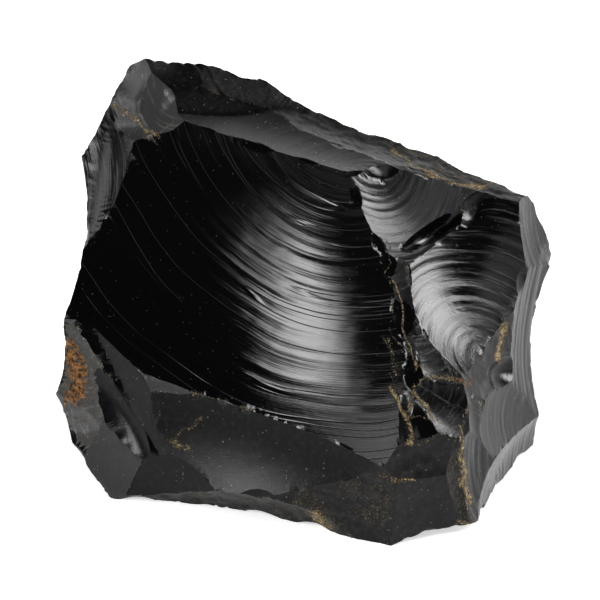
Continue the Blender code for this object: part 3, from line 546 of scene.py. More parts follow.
# %% The blows
PLAIN_BLOW = (None, 2.6, 0.040, 0.3, 0.8)
BASE_BLOW = ((0.0, -33.0, -17.5), 2.0, 0.0, 0.6, 0.5)
CHIP_BLOW = (0.9, 0.006, 0.15, 0.6)  # struck at its own centre
BLOWS = {
    "main": ((16.0, 46.0, 0.0), 2.6, 0.036, 0.0, 0.7),
    "fan": ((15.0, 28.5, 3.0), 1.7, 0.030, 0.12, 0.9),
    "right_scar": ((36.0, -12.0, 6.0), 1.9, 0.085, 0.06, 1.0),
    "top_face": ((13.8, 28.0, 2.6), 1.7, 0.020, 0.5, 0.8),
    "top_back": ((15.6, 33.8, -15.0), 2.0, 0.040, 0.85, 0.9),
    "knob": ((-24.6, 47.6, -20.0), 1.6, 0.012, 0.55, 0.4),
    "top_right": ((30.0, 28.6, -14.0), 1.5, 0.045, 0.9, 0.9),
    "cleft": ((23.0, 12.8, 3.4), 2.4, 0.004, 0.0, 0.2),
    "belly": ((-13.0, -18.8, 8.0), 3.2, 0.012, 0.7, 0.35),
    "blade": ((-33.8, -11.4, -0.2), 2.6, 0.012, 0.45, 0.35),
    "band": ((-40.8, -4.8, -3.2), 2.6, 0.012, 0.45, 0.35),
    "crescent": ((0.8, -33.6, 12.5), 3.0, 0.008, 0.6, 0.3),
    "crescent_left": ((-30.0, -40.0, -4.6), 2.0, 0.012, 0.55, 0.4),
    "furrow": ((-44.4, -3.8, -4.6), 3.0, 0.006, 0.0, 0.3),
    "lower_left": ((-38.4, -39.4, -2.5), 2.2, 0.020, 0.5, 0.6),
    "streaked": ((-39.4, -22.2, -4.0), 1.2, 0.080, 0.5, 1.0),
    "crust_face": ((-43.4, -8.8, -5.0), 1.2, 0.060, 1.0, 1.0),
    "belly_left": ((-24.4, -27.6, 2.6), 2.4, 0.012, 0.4, 0.4),
    "front_low": ((-4.0, -43.0, 1.1), 2.6, 0.030, 1.0, 0.6),
    "front_right": ((30.4, -34.0, 15.4), 2.0, 0.050, 0.8, 0.6),
    "under": ((-10.0, -38.0, 1.1), 2.6, 0.030, 0.95, 0.6),
    "foot_facet": ((20.0, -30.0, 19.0), 1.8, 0.030, 0.85, 0.6),
    "foot_side": ((32.0, -34.0, 15.0), 1.4, 0.060, 0.95, 0.8),
    "side_flat": ((46.4, -24.8, -14.0), 2.2, 0.050, 0.5, 0.9),
    "side_low": ((37.4, -39.4, -5.6), 1.7, 0.090, 0.3, 1.0),
    "side_strip": ((40.0, -10.0, 6.0), 1.4, 0.050, 0.4, 1.0),
    "shoulder": ((40.0, 10.0, -4.0), 1.5, 0.050, 0.85, 0.8),
    "edge_strip": ((78.0, -8.0, -30.0), 1.5, 0.110, 0.35, 1.0),
    "edge_mid": ((78.0, 6.0, -30.0), 1.5, 0.100, 0.45, 1.0),
    "edge_top": ((74.0, 14.0, -30.0), 1.5, 0.060, 0.6, 1.0),
    "column": ((60.0, -28.0, 4.4), 1.5, 0.110, 0.3, 1.0),
    "left_strip": ((-70.0, 20.0, -15.5), 1.3, 0.055, 0.1, 1.0),
    "notch_a": ((-40.0, 46.0, -14.0), 1.4, 0.070, 0.5, 1.0),
    "notch_b": ((-20.0, 48.0, -10.0), 1.5, 0.060, 0.1, 1.0),
    "notch_c": ((-44.0, 38.0, -14.0), 1.3, 0.070, 0.5, 1.0),
    "notch_d": ((-44.0, 36.0, -14.0), 1.3, 0.040, 0.5, 0.9),
    "waist": ((21.4, 2.0, 11.6), 1.6, 0.090, 0.3, 1.0),
    "waist_top": ((18.0, 10.0, 11.6), 1.6, 0.090, 0.5, 1.0),
    "waist_low": ((18.0, -6.0, 11.6), 1.5, 0.090, 0.5, 1.0),
    "dark_flat": ((22.8, -16.4, 17.4), 1.6, 0.060, 0.3, 0.9),
    "tri": ((22.8, -20.0, 17.4), 1.6, 0.014, 0.05, 0.6),
}
SPACING, HEIGHT, FROST, SCRATCH = 3, 4, 5, 6  # columns of a row, after the struck point
AXIS_1, AXIS_2 = slice(7, 10), slice(10, 13)


def blow_row(name):
    """One facet's struck point, spacing, height, frost and scratches."""
    point, *numbers = BLOWS.get(name, PLAIN_BLOW)
    return [*(point or CORNERS[FACETS[name][1][0]]), *numbers]


point, *numbers = BASE_BLOW
facet_blows = [blow_row(name) for name in FACETS] + [[*point, *numbers]]
chip_blows = [[*chip[:3], *CHIP_BLOW] for chip in chips]
blows = np.concatenate([np.array(facet_blows + chip_blows), bowls[:, 6:12]], axis=1)
print(len(BLOWS), "facets have a blow of their own;", len(blows), "rows in all")

# %% [markdown]
# ## From a blow to relief
#
# The rings and the swell bend the reflections that make obsidian look like itself. A bump in the
# finish would do from afar, but it would leave the outline and the mesh flat, so they are real
# relief here, worked out for every point at once from its distance to its facet's blow.

# %% Relief
RING_BENDS = ((1.1, 16.0, 11), (0.12, 4.5, 12))  # height, size and seed of each noise
SWELLS = ((0.03, 9.0, 31), (0.010, 3.0, 32))
CRUMBS = ((0.40, 3.1, 33), (0.36, 1.6, 34), (0.22, 0.9, 35))
RING_LAYERS = (  # share of the height, fineness, length round the blow, seed
    (1.0, 1.0, 30.0, 61), (0.55, 2.1, 18.0, 62), (0.25, 4.3, 12.0, 63),
)
ARC_RADIUS = 25.0  # a typical radius, which turns an angle round the blow into millimetres
LUMPS_PER_RING = 1.6
RING_GAIN = 1.5
EVEN_SHARE = 0.35  # height of the even wave beside the random rings
CRUMBLES_FROM = 0.7  # the frost at which a facet starts to crumble
CRUMBLE_GAIN = 2.0
CRUMBLE_LOSS = 0.5  # sinks the crumbling ground, since what crumbles falls away
LEAST_FACING = 0.25  # keeps the relief from growing without limit where a ray grazes its facet


def rings_and_arc(points, rows):
    """Distance from the blow, bent by noise, and the way round it at a typical radius, in mm."""
    offset = points - rows[:, :3]
    away = np.linalg.norm(offset, axis=1)
    turn = np.arctan2(dot(offset, rows[:, AXIS_2]), dot(offset, rows[:, AXIS_1]))
    return away + layered(points, RING_BENDS), turn * ARC_RADIUS


def relief(points, rows):
    """Height in millimetres of the rings and of the slow swell over each facet.

    Each layer of rings is noise that changes fast outwards from the blow and slowly round it. Three
    layers, each finer than the last, add up, and an even wave joins them. The frostiest facets also
    crumble: lumps of three sizes, which sink the deeper the frostier the facet is.
    """
    away, arc = rings_and_arc(points, rows)
    spacing, height = rows[:, SPACING], rows[:, HEIGHT]
    total = np.zeros(len(points))
    for share, fineness, length, seed in RING_LAYERS:
        across = away * fineness * LUMPS_PER_RING / spacing
        place = np.stack([across, arc / length, rows[:, 0]], axis=1)
        total += share * noise(place, 1.0, seed)
    even = EVEN_SHARE * np.sin(2 * np.pi * away / spacing)
    strength = 0.6 + 0.5 * noise(points, 8.0, 21)
    rough = CRUMBLE_GAIN * np.maximum(rows[:, FROST] - CRUMBLES_FROM, 0.0)
    ground = layered(points, SWELLS) + rough * (layered(points, CRUMBS) - CRUMBLE_LOSS)
    return RING_GAIN * height * (total + even) * strength + np.where(height > 0, ground, 0.0)


def reach_with_relief(rays, bowls, facets):
    """Distance to the numbered facet, with its relief added along the ray."""
    reach = meet_facets(rays, bowls, facets)
    points = HEART + rays * np.minimum(reach, FAR / 5)[:, None]
    facing = np.maximum(dot(rays, bowls[facets, 3:6]), LEAST_FACING)
    return reach + relief(points, blows[facets]) / facing


print("tallest rings:", round(RING_GAIN * blows[:, HEIGHT].max(), 3), "mm, before the noise")

# %% [markdown]
# ## Bruising the ridges
#
# A Bevel modifier would round all ridges alike, while real glass is nibbled here and sharp there. The
# gap to the second nearest facet is nought on a ridge and grows away from it, so a depth that
# shrinks as the gap grows is planed off the ridge alone.

# %% Bruised ridges
BRUISE_CELL = 2.2  # size of the random pattern's cells, in mm
BRUISE_SEED = 41
BRUISED_FROM = 0.45  # cells with a random number above this one are bruised
BRUISE_GAIN = 0.9
GRAIN_GAIN, GRAIN_SIZE, GRAIN_SEED = 0.03, 0.9, 51
DEEPEST = 0.42
RIDGE_FALL = 0.55  # how fast a bruise runs out as the second facet falls behind the first


def stone_points(rays, bowls):
    """Points of the stone along the rays, each point's facet, and how deep the ridge is planed."""
    choice = nearest(rays, bowls, 3)
    reach = np.stack([reach_with_relief(rays, bowls, column) for column in choice.T], axis=1)
    order = np.argsort(reach, axis=1)
    reach = np.take_along_axis(reach, order, axis=1)
    facet = np.take_along_axis(choice, order, axis=1)[:, 0]
    points = HEART + rays * reach[:, :1]
    bruise = np.maximum(0.0, cell_pattern(points, BRUISE_CELL, BRUISE_SEED) - BRUISED_FROM) ** 2
    grain = np.maximum(0.0, noise(points, GRAIN_SIZE, GRAIN_SEED))
    bruise = bruise * BRUISE_GAIN + GRAIN_GAIN * grain
    bruise = np.where(facet == BASE, 0.0, np.minimum(bruise, DEEPEST))
    planed = np.maximum(0.0, bruise - RIDGE_FALL * (reach[:, 1] - reach[:, 0]))
    return points - rays * planed[:, None], facet, planed


trial, trial_facet, _ = stone_points(np.array([[0.0, 0.0, 1.0]]), bowls)
print("straight ahead the stone ends at", trial[0].round(2), "on", FACET_NAMES[trial_facet[0]])

# %% [markdown]
# ## The grid of rays
#
# A globe's grid would crowd its cells at two poles, so the rays go through a cube, whose six faces
# are grids of points. The tangent evens out the angles between the rays, and a pull towards the big
# scar crowds them where the detail is. Points shared by two cube faces are merged, so the surface is
# closed.

# %% Rays through a cube
CELLS = 128  # cells along each edge of the cube
FRONT_PULL = 0.45  # crowds the rays towards the out axis
SLIDES = 2


def ray_grid(cells):
    """Rays through a grid on the six faces of a cube, and the four rays round every cell."""
    steps = np.tan(np.linspace(-1, 1, cells + 1) * np.pi / 4)
    u, v = (grid.ravel() for grid in np.meshgrid(steps, steps))
    one = np.ones_like(u)
    faces = [(one, u, v), (-one, v, u), (v, one, u), (u, -one, v), (u, v, one), (v, u, -one)]
    rays = unit(np.concatenate([np.stack(face, axis=1) for face in faces]))
    corner = (np.arange(cells)[:, None] * (cells + 1) + np.arange(cells)).ravel()
    quad = np.stack([corner, corner + 1, corner + cells + 2, corner + cells + 1], axis=1)
    quads = np.concatenate([quad + i * (cells + 1) ** 2 for i in range(6)])
    _, keep, same = np.unique(np.round(rays, 6), axis=0, return_index=True, return_inverse=True)
    return unit(rays[keep] + [0, 0, FRONT_PULL]), same.ravel()[quads]


rays, quads = ray_grid(CELLS)
sides = np.linalg.norm(rays[quads] - rays[np.roll(quads, -1, axis=1)], axis=2)
cell = np.bincount(quads.ravel(), sides.ravel()) / np.bincount(quads.ravel())
for _ in range(SLIDES):
    rays = slide_to_ridges(rays, bowls, cell, reach_with_relief)
points, facet, planed = stone_points(rays, bowls)
print(len(points), "points,", len(quads), "cells")

# %% [markdown]
# ## Folding the cells
#
# A cell between four points bends along one of its two diagonals. Where the four points lie on
# different facets, the diagonal whose middle lies nearer to the true surface is the ridge.

# %% Triangles


def fold_cells(points, quads, facet, bowls):
    """Two triangles for each cell, folded along the diagonal that follows the ridge."""
    crossed = (facet[quads] != facet[quads[:, :1]]).any(axis=1)
    first = np.ones(len(quads), bool)
    corners = quads[crossed]

    def miss(i, j):
        middle = (points[corners[:, i]] + points[corners[:, j]]) / 2 - HEART
        length = np.linalg.norm(middle, axis=1)
        surface = stone_points(unit(middle), bowls)[0]
        return np.abs(np.linalg.norm(surface - HEART, axis=1) - length)

    first[crossed] = miss(0, 2) <= miss(1, 3)
    one = quads[:, [0, 1, 2, 0, 2, 3]].reshape(-1, 2, 3)
    other = quads[:, [1, 2, 3, 1, 3, 0]].reshape(-1, 2, 3)
    return np.where(first[:, None, None], one, other).reshape(-1, 3)


triangles = fold_cells(points, quads, facet, bowls)
middles = unit(points[triangles].mean(axis=1) - HEART)
triangle_facet = nearest(middles, bowls, 1)[:, 0]
print(len(triangles), "triangles")

# %% [markdown]
# ## Weathering and painted glints: where crust and dust sit
#
# Old surfaces keep a rust-brown skin, and clay dust lodges in cracks and along bruised ridges. Along
# the ridges the tan is partly painted light too, standing in for gold glints of light shining through
# thin edges. Each patch is a line of points in the drawing frame with a width; a patch fades with the
# distance to its line, and noise makes the line wander. It could be painted on by hand, but a line is
# easy to move. The finish breaks these soft fields up into grains.

# %% Patches of crust, and of dust with painted glints along the ridges
RUST_PATCHES = (  # width in mm, strength, then the points (across, up) of its line
    (3.2, 1.0, ((-46.0, -10.0), (-44.6, -15.0), (-45.0, -19.0))),
    (2.4, 0.6, ((-47.0, -21.0), (-43.0, -24.0))),
    (1.4, 0.7, ((30.0, -14.6), (33.6, -16.4))),
    (2.4, 0.5, ((34.0, -43.6), (36.0, -45.6))),
    (1.5, 0.5, ((27.6, 26.4), (32.0, 25.0))),
)
# Lines of clay dust; those along ridges also carry painted glints of light through thin edges.
DUST_AND_GLINT_LINES = (
    (1.5, 0.8, ((-25.6, -28.6), (-23.0, -29.6))),
    (2.2, 0.85, ((2.6, -42.0), (5.6, -46.0))),
    (1.8, 0.9, ((40.6, -6.0), (39.6, -12.0))),
    (0.7, 0.9, ((-37.8, 39.6), (-33.0, 36.0), (-28.8, 33.6))),
    (0.6, 0.9, ((18.6, 30.4), (24.8, 25.8), (31.8, 23.6), (37.2, 22.8), (41.4, 24.2))),
    (0.8, 1.0, ((18.2, -17.0), (19.6, -20.0), (21.6, -23.8), (22.0, -28.0))),
    (0.6, 0.7, ((17.2, -8.0), (19.4, -15.0), (18.6, -19.0))),
    (0.4, 0.7, ((17.2, 12.0), (17.8, 4.0), (18.6, -4.0), (18.0, -16.0))),
    (0.7, 0.7, ((-26.0, -28.0), (-22.0, -26.0), (-19.2, -23.4))),
    (0.8, 0.8, ((31.0, -32.0), (32.4, -36.6))),
    (0.8, 0.8, ((18.0, -35.2), (22.8, -35.8))),
    (0.9, 0.9, ((32.0, -43.6), (35.6, -45.4))),
    (0.5, 0.9, ((22.2, -17.4), (25.8, -23.6))),
    (0.6, 0.8, ((22.2, -17.4), (21.4, -23.4), (25.8, -23.6), (32.0, -24.6), (33.2, -20.0))),
    (0.6, 0.8, ((22.6, -17.2), (24.4, -15.0), (29.0, -14.8), (33.0, -16.6))),
    (0.7, 0.9, ((31.2, -24.8), (31.6, -30.0), (32.4, -36.6), (33.6, -41.0))),
    (0.5, 0.7, ((22.0, -28.0), (26.0, -27.4), (31.0, -26.0))),
    (0.5, 0.6, ((-6.0, -38.0), (2.0, -36.0), (8.0, -33.6), (18.0, -35.0))),
    (0.6, 0.7, ((-33.0, 36.4), (-29.0, 31.6), (-26.0, 36.0))),
    (1.0, 0.6, ((12.0, 34.0), (22.0, 30.0), (36.0, 26.0), (44.0, 22.0))),
    (0.7, 0.5, ((-14.0, 48.0), (-8.0, 43.0), (0.0, 39.0), (12.0, 34.0))),
    (0.4, 0.9, ((18.8, 4.0), (20.6, -1.0), (21.0, -6.0), (22.4, -12.0))),
    (0.4, 0.8, ((22.4, -12.0), (26.0, -15.0), (30.0, -15.4))),
    (0.4, 0.8, ((18.4, -8.0), (22.0, -10.6), (22.4, -14.0))),
)
WANDER = 0.9  # how far a line strays, in mm
WANDER_SIZE = 2.6
WANDER_SEEDS = (81, 82)
PATCHES_FROM, FADE = -26.0, 6.0  # patches lie farther out than this, and fade in over so many mm


def near_lines(points, patches):
    """For each point, the strongest of strength x exp(-(distance / width) squared), 0 behind."""
    stray = np.stack([noise(points, WANDER_SIZE, seed) for seed in WANDER_SEEDS], axis=1)
    flat = points[:, :2] + WANDER * stray
    best = np.zeros(len(points))
    for width, strength, line in patches:
        ends = np.array(line)
        for start, end in zip(ends[:-1], ends[1:]):
            along = end - start
            share = np.clip((flat - start) @ along / (along @ along), 0, 1)
            away = np.linalg.norm(flat - start - share[:, None] * along, axis=1)
            best = np.maximum(best, strength * np.exp(-((away / width) ** 2)))
    return best * np.clip((points[:, 2] - PATCHES_FROM) / FADE, 0, 1)


old_skin = np.clip(noise(points, 11.0, 71) * 2.2 - 0.9, 0, 0.7) * (points[:, 2] < -20)
rust = np.maximum(near_lines(points, RUST_PATCHES), old_skin)
# Dust along the lines, and tan on the bruised ridges: there it is partly painted light, standing in for
# glints of light shining through thin edges.
dust_and_glint = np.maximum(near_lines(points, DUST_AND_GLINT_LINES), 0.75 * np.minimum(planed * 4.0, 1.0))
print("share of points with rust:", (rust > 0.3).mean().round(3), "with dust:", (dust_and_glint > 0.3).mean().round(3))

# %% [markdown]
# ## The mesh and what it carries
#
# The finish needs to know, at every corner of every triangle, which ring it lies on, how frosted,
# scratched and hazy the glass is there, how much painted sheen its facet carries, and how much rust
# and dust cover it, the dust with painted glints along the ridges. Images could carry such facts, but
# they need an unwrapped surface, so they go into the mesh as attributes. They are kept on face corners
# where they jump from one facet to the next, so that they don't smear across a ridge.

# %% Build the stone
HAZE_AND_SHEEN = {  # facets painted evenly paler, partly a frosted bloom and partly painted sheen for brighter reflections, and how strong
    "streaked": 3.0, "lower_left": 1.3, "blade": 1.9, "band": 0.5, "side_strip": 0.6, "edge_strip": 0.3,
    "edge_mid": 0.3, "fan": 0.4, "shoulder": 0.2, "column": 1.2, "waist": 0.1, "waist_low": 0.2,
    "waist_top": 0.3, "dark_flat": 0.1, "gold_strip": 0.2, "notch_a": 1.5, "notch_b": 2.0,
    "notch_c": 1.5, "notch_d": 1.5, "crust_face": 1.5,
}
SHARP = np.radians(24)  # edges that bend more than this stay sharp

# Each facet's even paleness: partly a frosted bloom, partly painted sheen that stands in for brighter
# reflections.
bloom_and_sheen = np.zeros(len(blows))
bloom_and_sheen[[ROW_OF[name] for name in HAZE_AND_SHEEN]] = list(HAZE_AND_SHEEN.values())
mesh = bpy.data.meshes.new("obsidian")
mesh.from_pydata(upright(points) * MM, [], triangles)
mesh.update()
corner_facet = np.repeat(triangle_facet, 3)
ring, arc = rings_and_arc(points[triangles.ravel()], blows[corner_facet])
facts = {
    "CORNER": {
        "ring": ring, "arc": arc, "frost": blows[corner_facet, FROST],
        # the even paleness of some facets, partly frosted bloom and partly painted sheen
        "scratch": blows[corner_facet, SCRATCH], "bloom_and_sheen": bloom_and_sheen[corner_facet],
        "crease": corner_facet == ROW_OF["main"],
    },
    # dust field: partly painted glints along the ridges
    "POINT": {"rust": rust, "dust_and_glint": dust_and_glint},
}
for domain, layers in facts.items():
    for name, values in layers.items():
        layer = mesh.attributes.new(name, "FLOAT", domain)
        layer.data.foreach_set("value", np.ascontiguousarray(values, np.float32))
mesh.shade_smooth()
mesh.set_sharp_from_angle(angle=SHARP)
stone = bpy.data.objects.new("obsidian_surface", mesh)
bpy.context.scene.collection.objects.link(stone)
lengths = (points.max(axis=0) - points.min(axis=0)).round(1)
print("stone:", len(mesh.vertices), "vertices, spans across, up, out:", lengths)

# %% [markdown]
# ## Black volcanic glass
#
# The finish is one Principled shader. A see-through glass that swallows light would be as black, but
# slow, and its inside would never show. Glass this dark shows nothing but reflections, faint head on
# and far stronger at a glance. Fresh glass has an index of refraction of 1.49; a weathered skin is
# duller, so the specular level is below its usual half. Broken facets differ in how frosted they
# are, and the finest streaks, arcs and grains are a bump.
#
# A few helpers come first, each for one kind of node, so that the finish reads like a formula.

# %% Nodes for numbers


def link(tree, source, target):
    """Joins an output socket to an input socket."""
    tree.links.new(source, target)


def math_node(tree, operation, a, b=None, clamp=False):
    """A Math node fed by sockets or plain numbers; returns its output."""
    made = tree.nodes.new("ShaderNodeMath")
    made.operation = operation
    made.use_clamp = clamp
    for i, value in enumerate((a, b)):
        if isinstance(value, (int, float)):
            made.inputs[i].default_value = value
        elif value is not None:
            link(tree, value, made.inputs[i])
    return made.outputs[0]


def times(tree, a, b, clamp=False):
    """The product of two sockets, or of a socket and a number."""
    return math_node(tree, "MULTIPLY", a, b, clamp)


def plus(tree, a, b, clamp=False):
    """The sum of two sockets, or of a socket and a number."""
    return math_node(tree, "ADD", a, b, clamp)


def attribute(tree, name):
    """Reads one of the mesh's attributes."""
    made = tree.nodes.new("ShaderNodeAttribute")
    made.attribute_name = name
    return made.outputs["Fac"]


# %% Nodes for patterns and colours


def noise_node(tree, place, scale, detail=2.0, roughness=0.5):
    """Blender's noise texture at so many lumps per unit of the place, which is a metre on the stone."""
    made = tree.nodes.new("ShaderNodeTexNoise")
    made.inputs["Scale"].default_value = scale
    made.inputs["Detail"].default_value = detail
    made.inputs["Roughness"].default_value = roughness
    link(tree, place, made.inputs["Vector"])
    return made.outputs["Fac"]


def ramp_node(tree, value, low, high):
    """0 below low, 1 above high, and a smooth step between."""
    made = tree.nodes.new("ShaderNodeMapRange")
    made.interpolation_type = "SMOOTHSTEP"
    made.inputs["From Min"].default_value = low
    made.inputs["From Max"].default_value = high
    link(tree, value, made.inputs["Value"])
    return made.outputs["Result"]


def mix_colours(tree, share, first, second):
    """Blends two colours, each a socket or four numbers."""
    made = tree.nodes.new("ShaderNodeMix")
    made.data_type = "RGBA"
    link(tree, share, made.inputs["Factor"])
    for socket, value in ((made.inputs["A"], first), (made.inputs["B"], second)):
        if isinstance(value, tuple):
            socket.default_value = value
        else:
            link(tree, value, socket)
    return made.outputs["Result"]


# %% [markdown]
# ## Patterns in the glass
#
# Three kinds of pattern make up the finish. Streaks and thin arcs follow the rings, so they read the
# ring and arc attributes as their place, squeezed one way and stretched the other. Grains and specks
# read the place on the stone. Soft fields, such as rust, are broken up by beating them against a
# noise, because real crust has crisp, ragged edges.

# %% Fine relief
STREAK_HEIGHT = 0.040  # heights of the bump, in mm
CREASE_HEIGHT = 0.038
GRAIN_HEIGHT = 0.030
COVER_HEIGHT = 0.05
CREASE_WIDTH = 0.012  # half of the noise's range that an arc takes up


def along_rings(tree, across, around):
    """A place for noise: the ring and arc attributes, each stretched by its own factor."""
    made = tree.nodes.new("ShaderNodeCombineXYZ")
    link(tree, times(tree, attribute(tree, "ring"), across), made.inputs[0])
    link(tree, times(tree, attribute(tree, "arc"), around), made.inputs[1])
    return made.outputs[0]


def fine_relief(tree, place, covered):
    """Height in millimetres of what is finer than the mesh: streaks, thin arcs, grains and crust."""
    streak = noise_node(tree, along_rings(tree, 2.6, 0.16), 1.0, 3.0, 0.6)
    streak = times(tree, streak, attribute(tree, "scratch"))
    crease = noise_node(tree, along_rings(tree, 0.22, 0.012), 1.0)
    crease = math_node(tree, "ABSOLUTE", math_node(tree, "SUBTRACT", crease, 0.5))
    crease = times(tree, ramp_node(tree, crease, 0.0, CREASE_WIDTH), attribute(tree, "crease"))
    grain = times(tree, noise_node(tree, place, 3200.0, 3.0, 0.6), attribute(tree, "frost"))
    height = times(tree, streak, STREAK_HEIGHT)
    for layer, tallest in ((crease, CREASE_HEIGHT), (grain, GRAIN_HEIGHT), (covered, COVER_HEIGHT)):
        height = plus(tree, height, times(tree, layer, tallest))
    return height


tallest_bump = STREAK_HEIGHT + CREASE_HEIGHT + GRAIN_HEIGHT + COVER_HEIGHT
print("the bump is up to", round(tallest_bump, 3), "mm high")

# %% Specks, grains, haze and painted sheen


def specks(tree, place, cells, size, share):
    """1 inside small round dots: one in each cell of a random pattern, and only in some cells."""
    made = tree.nodes.new("ShaderNodeTexVoronoi")
    made.inputs["Scale"].default_value = cells
    link(tree, place, made.inputs["Vector"])
    chosen = tree.nodes.new("ShaderNodeSeparateColor")
    link(tree, made.outputs["Color"], chosen.inputs[0])
    dot_shape = ramp_node(tree, made.outputs["Distance"], size, size * 0.6)
    return times(tree, dot_shape, math_node(tree, "LESS_THAN", chosen.outputs[0], share))


def grains_of(tree, place, name, fineness, edge):
    """Breaks up the soft field of an attribute: 1 where it beats a random noise, 0 elsewhere."""
    field = times(tree, attribute(tree, name), 0.50)
    pattern = noise_node(tree, place, fineness, 4.0, 0.65)
    return ramp_node(tree, plus(tree, field, pattern), edge, edge + 0.16)


def mottled(tree, place, fineness, dark, light):
    """A colour that wanders between two others with a noise, spread out to reach both."""
    share = ramp_node(tree, noise_node(tree, place, fineness, 4.0, 0.7), 0.38, 0.64)
    return mix_colours(tree, share, dark, light)


def painted_streak_reflections(tree):
    """Painted reflections: pale, broken lines along the rings of the roughest facets, in place of the bright
    streaks that their ripples would mirror.
    """
    lines = noise_node(tree, along_rings(tree, 1.5, 0.06), 1.0, 4.0, 0.65)
    rough = ramp_node(tree, attribute(tree, "scratch"), 0.8, 1.0)
    return times(tree, ramp_node(tree, lines, 0.52, 0.74), rough)


def grime_of(tree, place):
    """Ochre specks scattered in drifts over the facets that crumble most."""
    drifts = ramp_node(tree, noise_node(tree, place, 190.0, 3.0, 0.6), 0.40, 0.60)
    grains = ramp_node(tree, noise_node(tree, place, 2100.0, 4.0, 0.75), 0.53, 0.62)
    coarse = ramp_node(tree, attribute(tree, "frost"), 0.80, 0.95)
    return times(tree, times(tree, drifts, grains), coarse)


def dots_of(tree, place):
    """Pale specks of powder, of two sizes, most of them where the glass is frosted."""
    large, small = specks(tree, place, 600.0, 0.10, 0.22), specks(tree, place, 1500.0, 0.17, 0.12)
    exposed = plus(tree, attribute(tree, "frost"), 0.35)
    return times(tree, math_node(tree, "MAXIMUM", large, small), exposed, clamp=True)


def paleness_and_sheen_of(tree, place):
    """How pale the glass is: mottled frost, painted reflections as pale streaks, and the even paleness of
    some facets, partly frosted bloom and partly painted sheen.
    """
    frosted = ramp_node(tree, noise_node(tree, place, 800.0, 8.0, 0.75), 0.46, 0.74)
    frosted = times(tree, times(tree, frosted, attribute(tree, "frost")), 0.16)
    pale = math_node(tree, "MAXIMUM", frosted, times(tree, painted_streak_reflections(tree), 0.55))
    return plus(tree, pale, times(tree, attribute(tree, "bloom_and_sheen"), 0.19), clamp=True)


# %% The glass
# The pale grey is partly frosted glass and partly painted light: painted reflection streaks and painted
# sheen on some facets.
DEEP_GLASS, CRUSHED_GLASS_AND_SHEEN = (0.0035, 0.0035, 0.004, 1), (0.165, 0.167, 0.165, 1)
OCHRE_GRIME = (0.085, 0.062, 0.026, 1)
DARK_RUST, BRIGHT_RUST = (0.020, 0.011, 0.006, 1), (0.30, 0.15, 0.055, 1)
# The clay colours also paint the gold glints of light through thin edges along the ridges.
DARK_CLAY, PALE_CLAY_AND_GLINT = (0.10, 0.065, 0.025, 1), (0.50, 0.39, 0.22, 1)
PALE_DUST = (0.42, 0.40, 0.36, 1)
POLISH, FROST_ROUGHNESS, COVER_ROUGHNESS = 0.06, 0.34, 0.45


def glass_material():
    """Black glass with frosted facets, fine streaks, clay powder and a rusty skin in places, and painted
    light: pale streaks and an even paleness of some facets stand in for reflections, and tan along the
    ridges for edge glints.
    """
    material = bpy.data.materials.new("black_glass")
    material.use_nodes = True
    tree = material.node_tree
    shader = tree.nodes["Principled BSDF"]
    shader.inputs["IOR"].default_value = 1.49
    shader.inputs["Specular IOR Level"].default_value = 0.28
    place = tree.nodes.new("ShaderNodeTexCoord").outputs["Object"]
    rust_grains = grains_of(tree, place, "rust", 1100.0, 0.80)
    # Grains of dust, partly painted edge glints along the ridges.
    grains_of_dust_and_glint = grains_of(tree, place, "dust_and_glint", 3600.0, 0.82)
    skin = mottled(tree, place, 1300.0, DARK_RUST, BRIGHT_RUST)
    powder_and_glint = mottled(tree, place, 1500.0, DARK_CLAY, PALE_CLAY_AND_GLINT)
    # Paler glass: frost, and painted streaks and sheen standing in for reflections.
    colour = mix_colours(tree, paleness_and_sheen_of(tree, place), DEEP_GLASS, CRUSHED_GLASS_AND_SHEEN)
    colour = mix_colours(tree, grime_of(tree, place), colour, OCHRE_GRIME)
    colour = mix_colours(tree, rust_grains, colour, skin)
    colour = mix_colours(tree, grains_of_dust_and_glint, colour, powder_and_glint)
    colour = mix_colours(tree, times(tree, dots_of(tree, place), 0.6), colour, PALE_DUST)
    link(tree, colour, shader.inputs["Base Color"])
    covered = math_node(tree, "MAXIMUM", rust_grains, grains_of_dust_and_glint)
    rough = plus(tree, times(tree, attribute(tree, "frost"), FROST_ROUGHNESS), POLISH)
    rough = plus(tree, rough, times(tree, covered, COVER_ROUGHNESS), clamp=True)
    link(tree, rough, shader.inputs["Roughness"])
    bump = tree.nodes.new("ShaderNodeBump")
    bump.inputs["Strength"].default_value = 1.0
    bump.inputs["Distance"].default_value = MM
    link(tree, fine_relief(tree, place, covered), bump.inputs["Height"])
    link(tree, bump.outputs["Normal"], shader.inputs["Normal"])
    return material


stone.data.materials.append(glass_material())
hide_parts("obsidian_chunk")
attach(stone, "root")
print("finish:", stone.data.materials[0].name)

# %% [markdown]
# ## Floor, sky and panels of light
#
# A pale floor and a pale horizon light the stone from all round and lie mirrored in its lower
# facets. Above the horizon the studio is dark, so that the great scar stays black, and panels of
# light with soft edges hang in it. A narrow one up to the left makes the scar's ripples shine, and a
# tall one to the right does so for the two smaller scars. Three dim ones fill in: one above the
# right panel, one far to the left, and one behind the stone. Area lamps could do the same, but
# panels painted into the sky are easier to soften, and shine alike wherever the stone stands.

# %% The floor
FLOOR_HALF = 3.0  # half of the floor's width, in metres
FLOOR_GLOW = 0.62


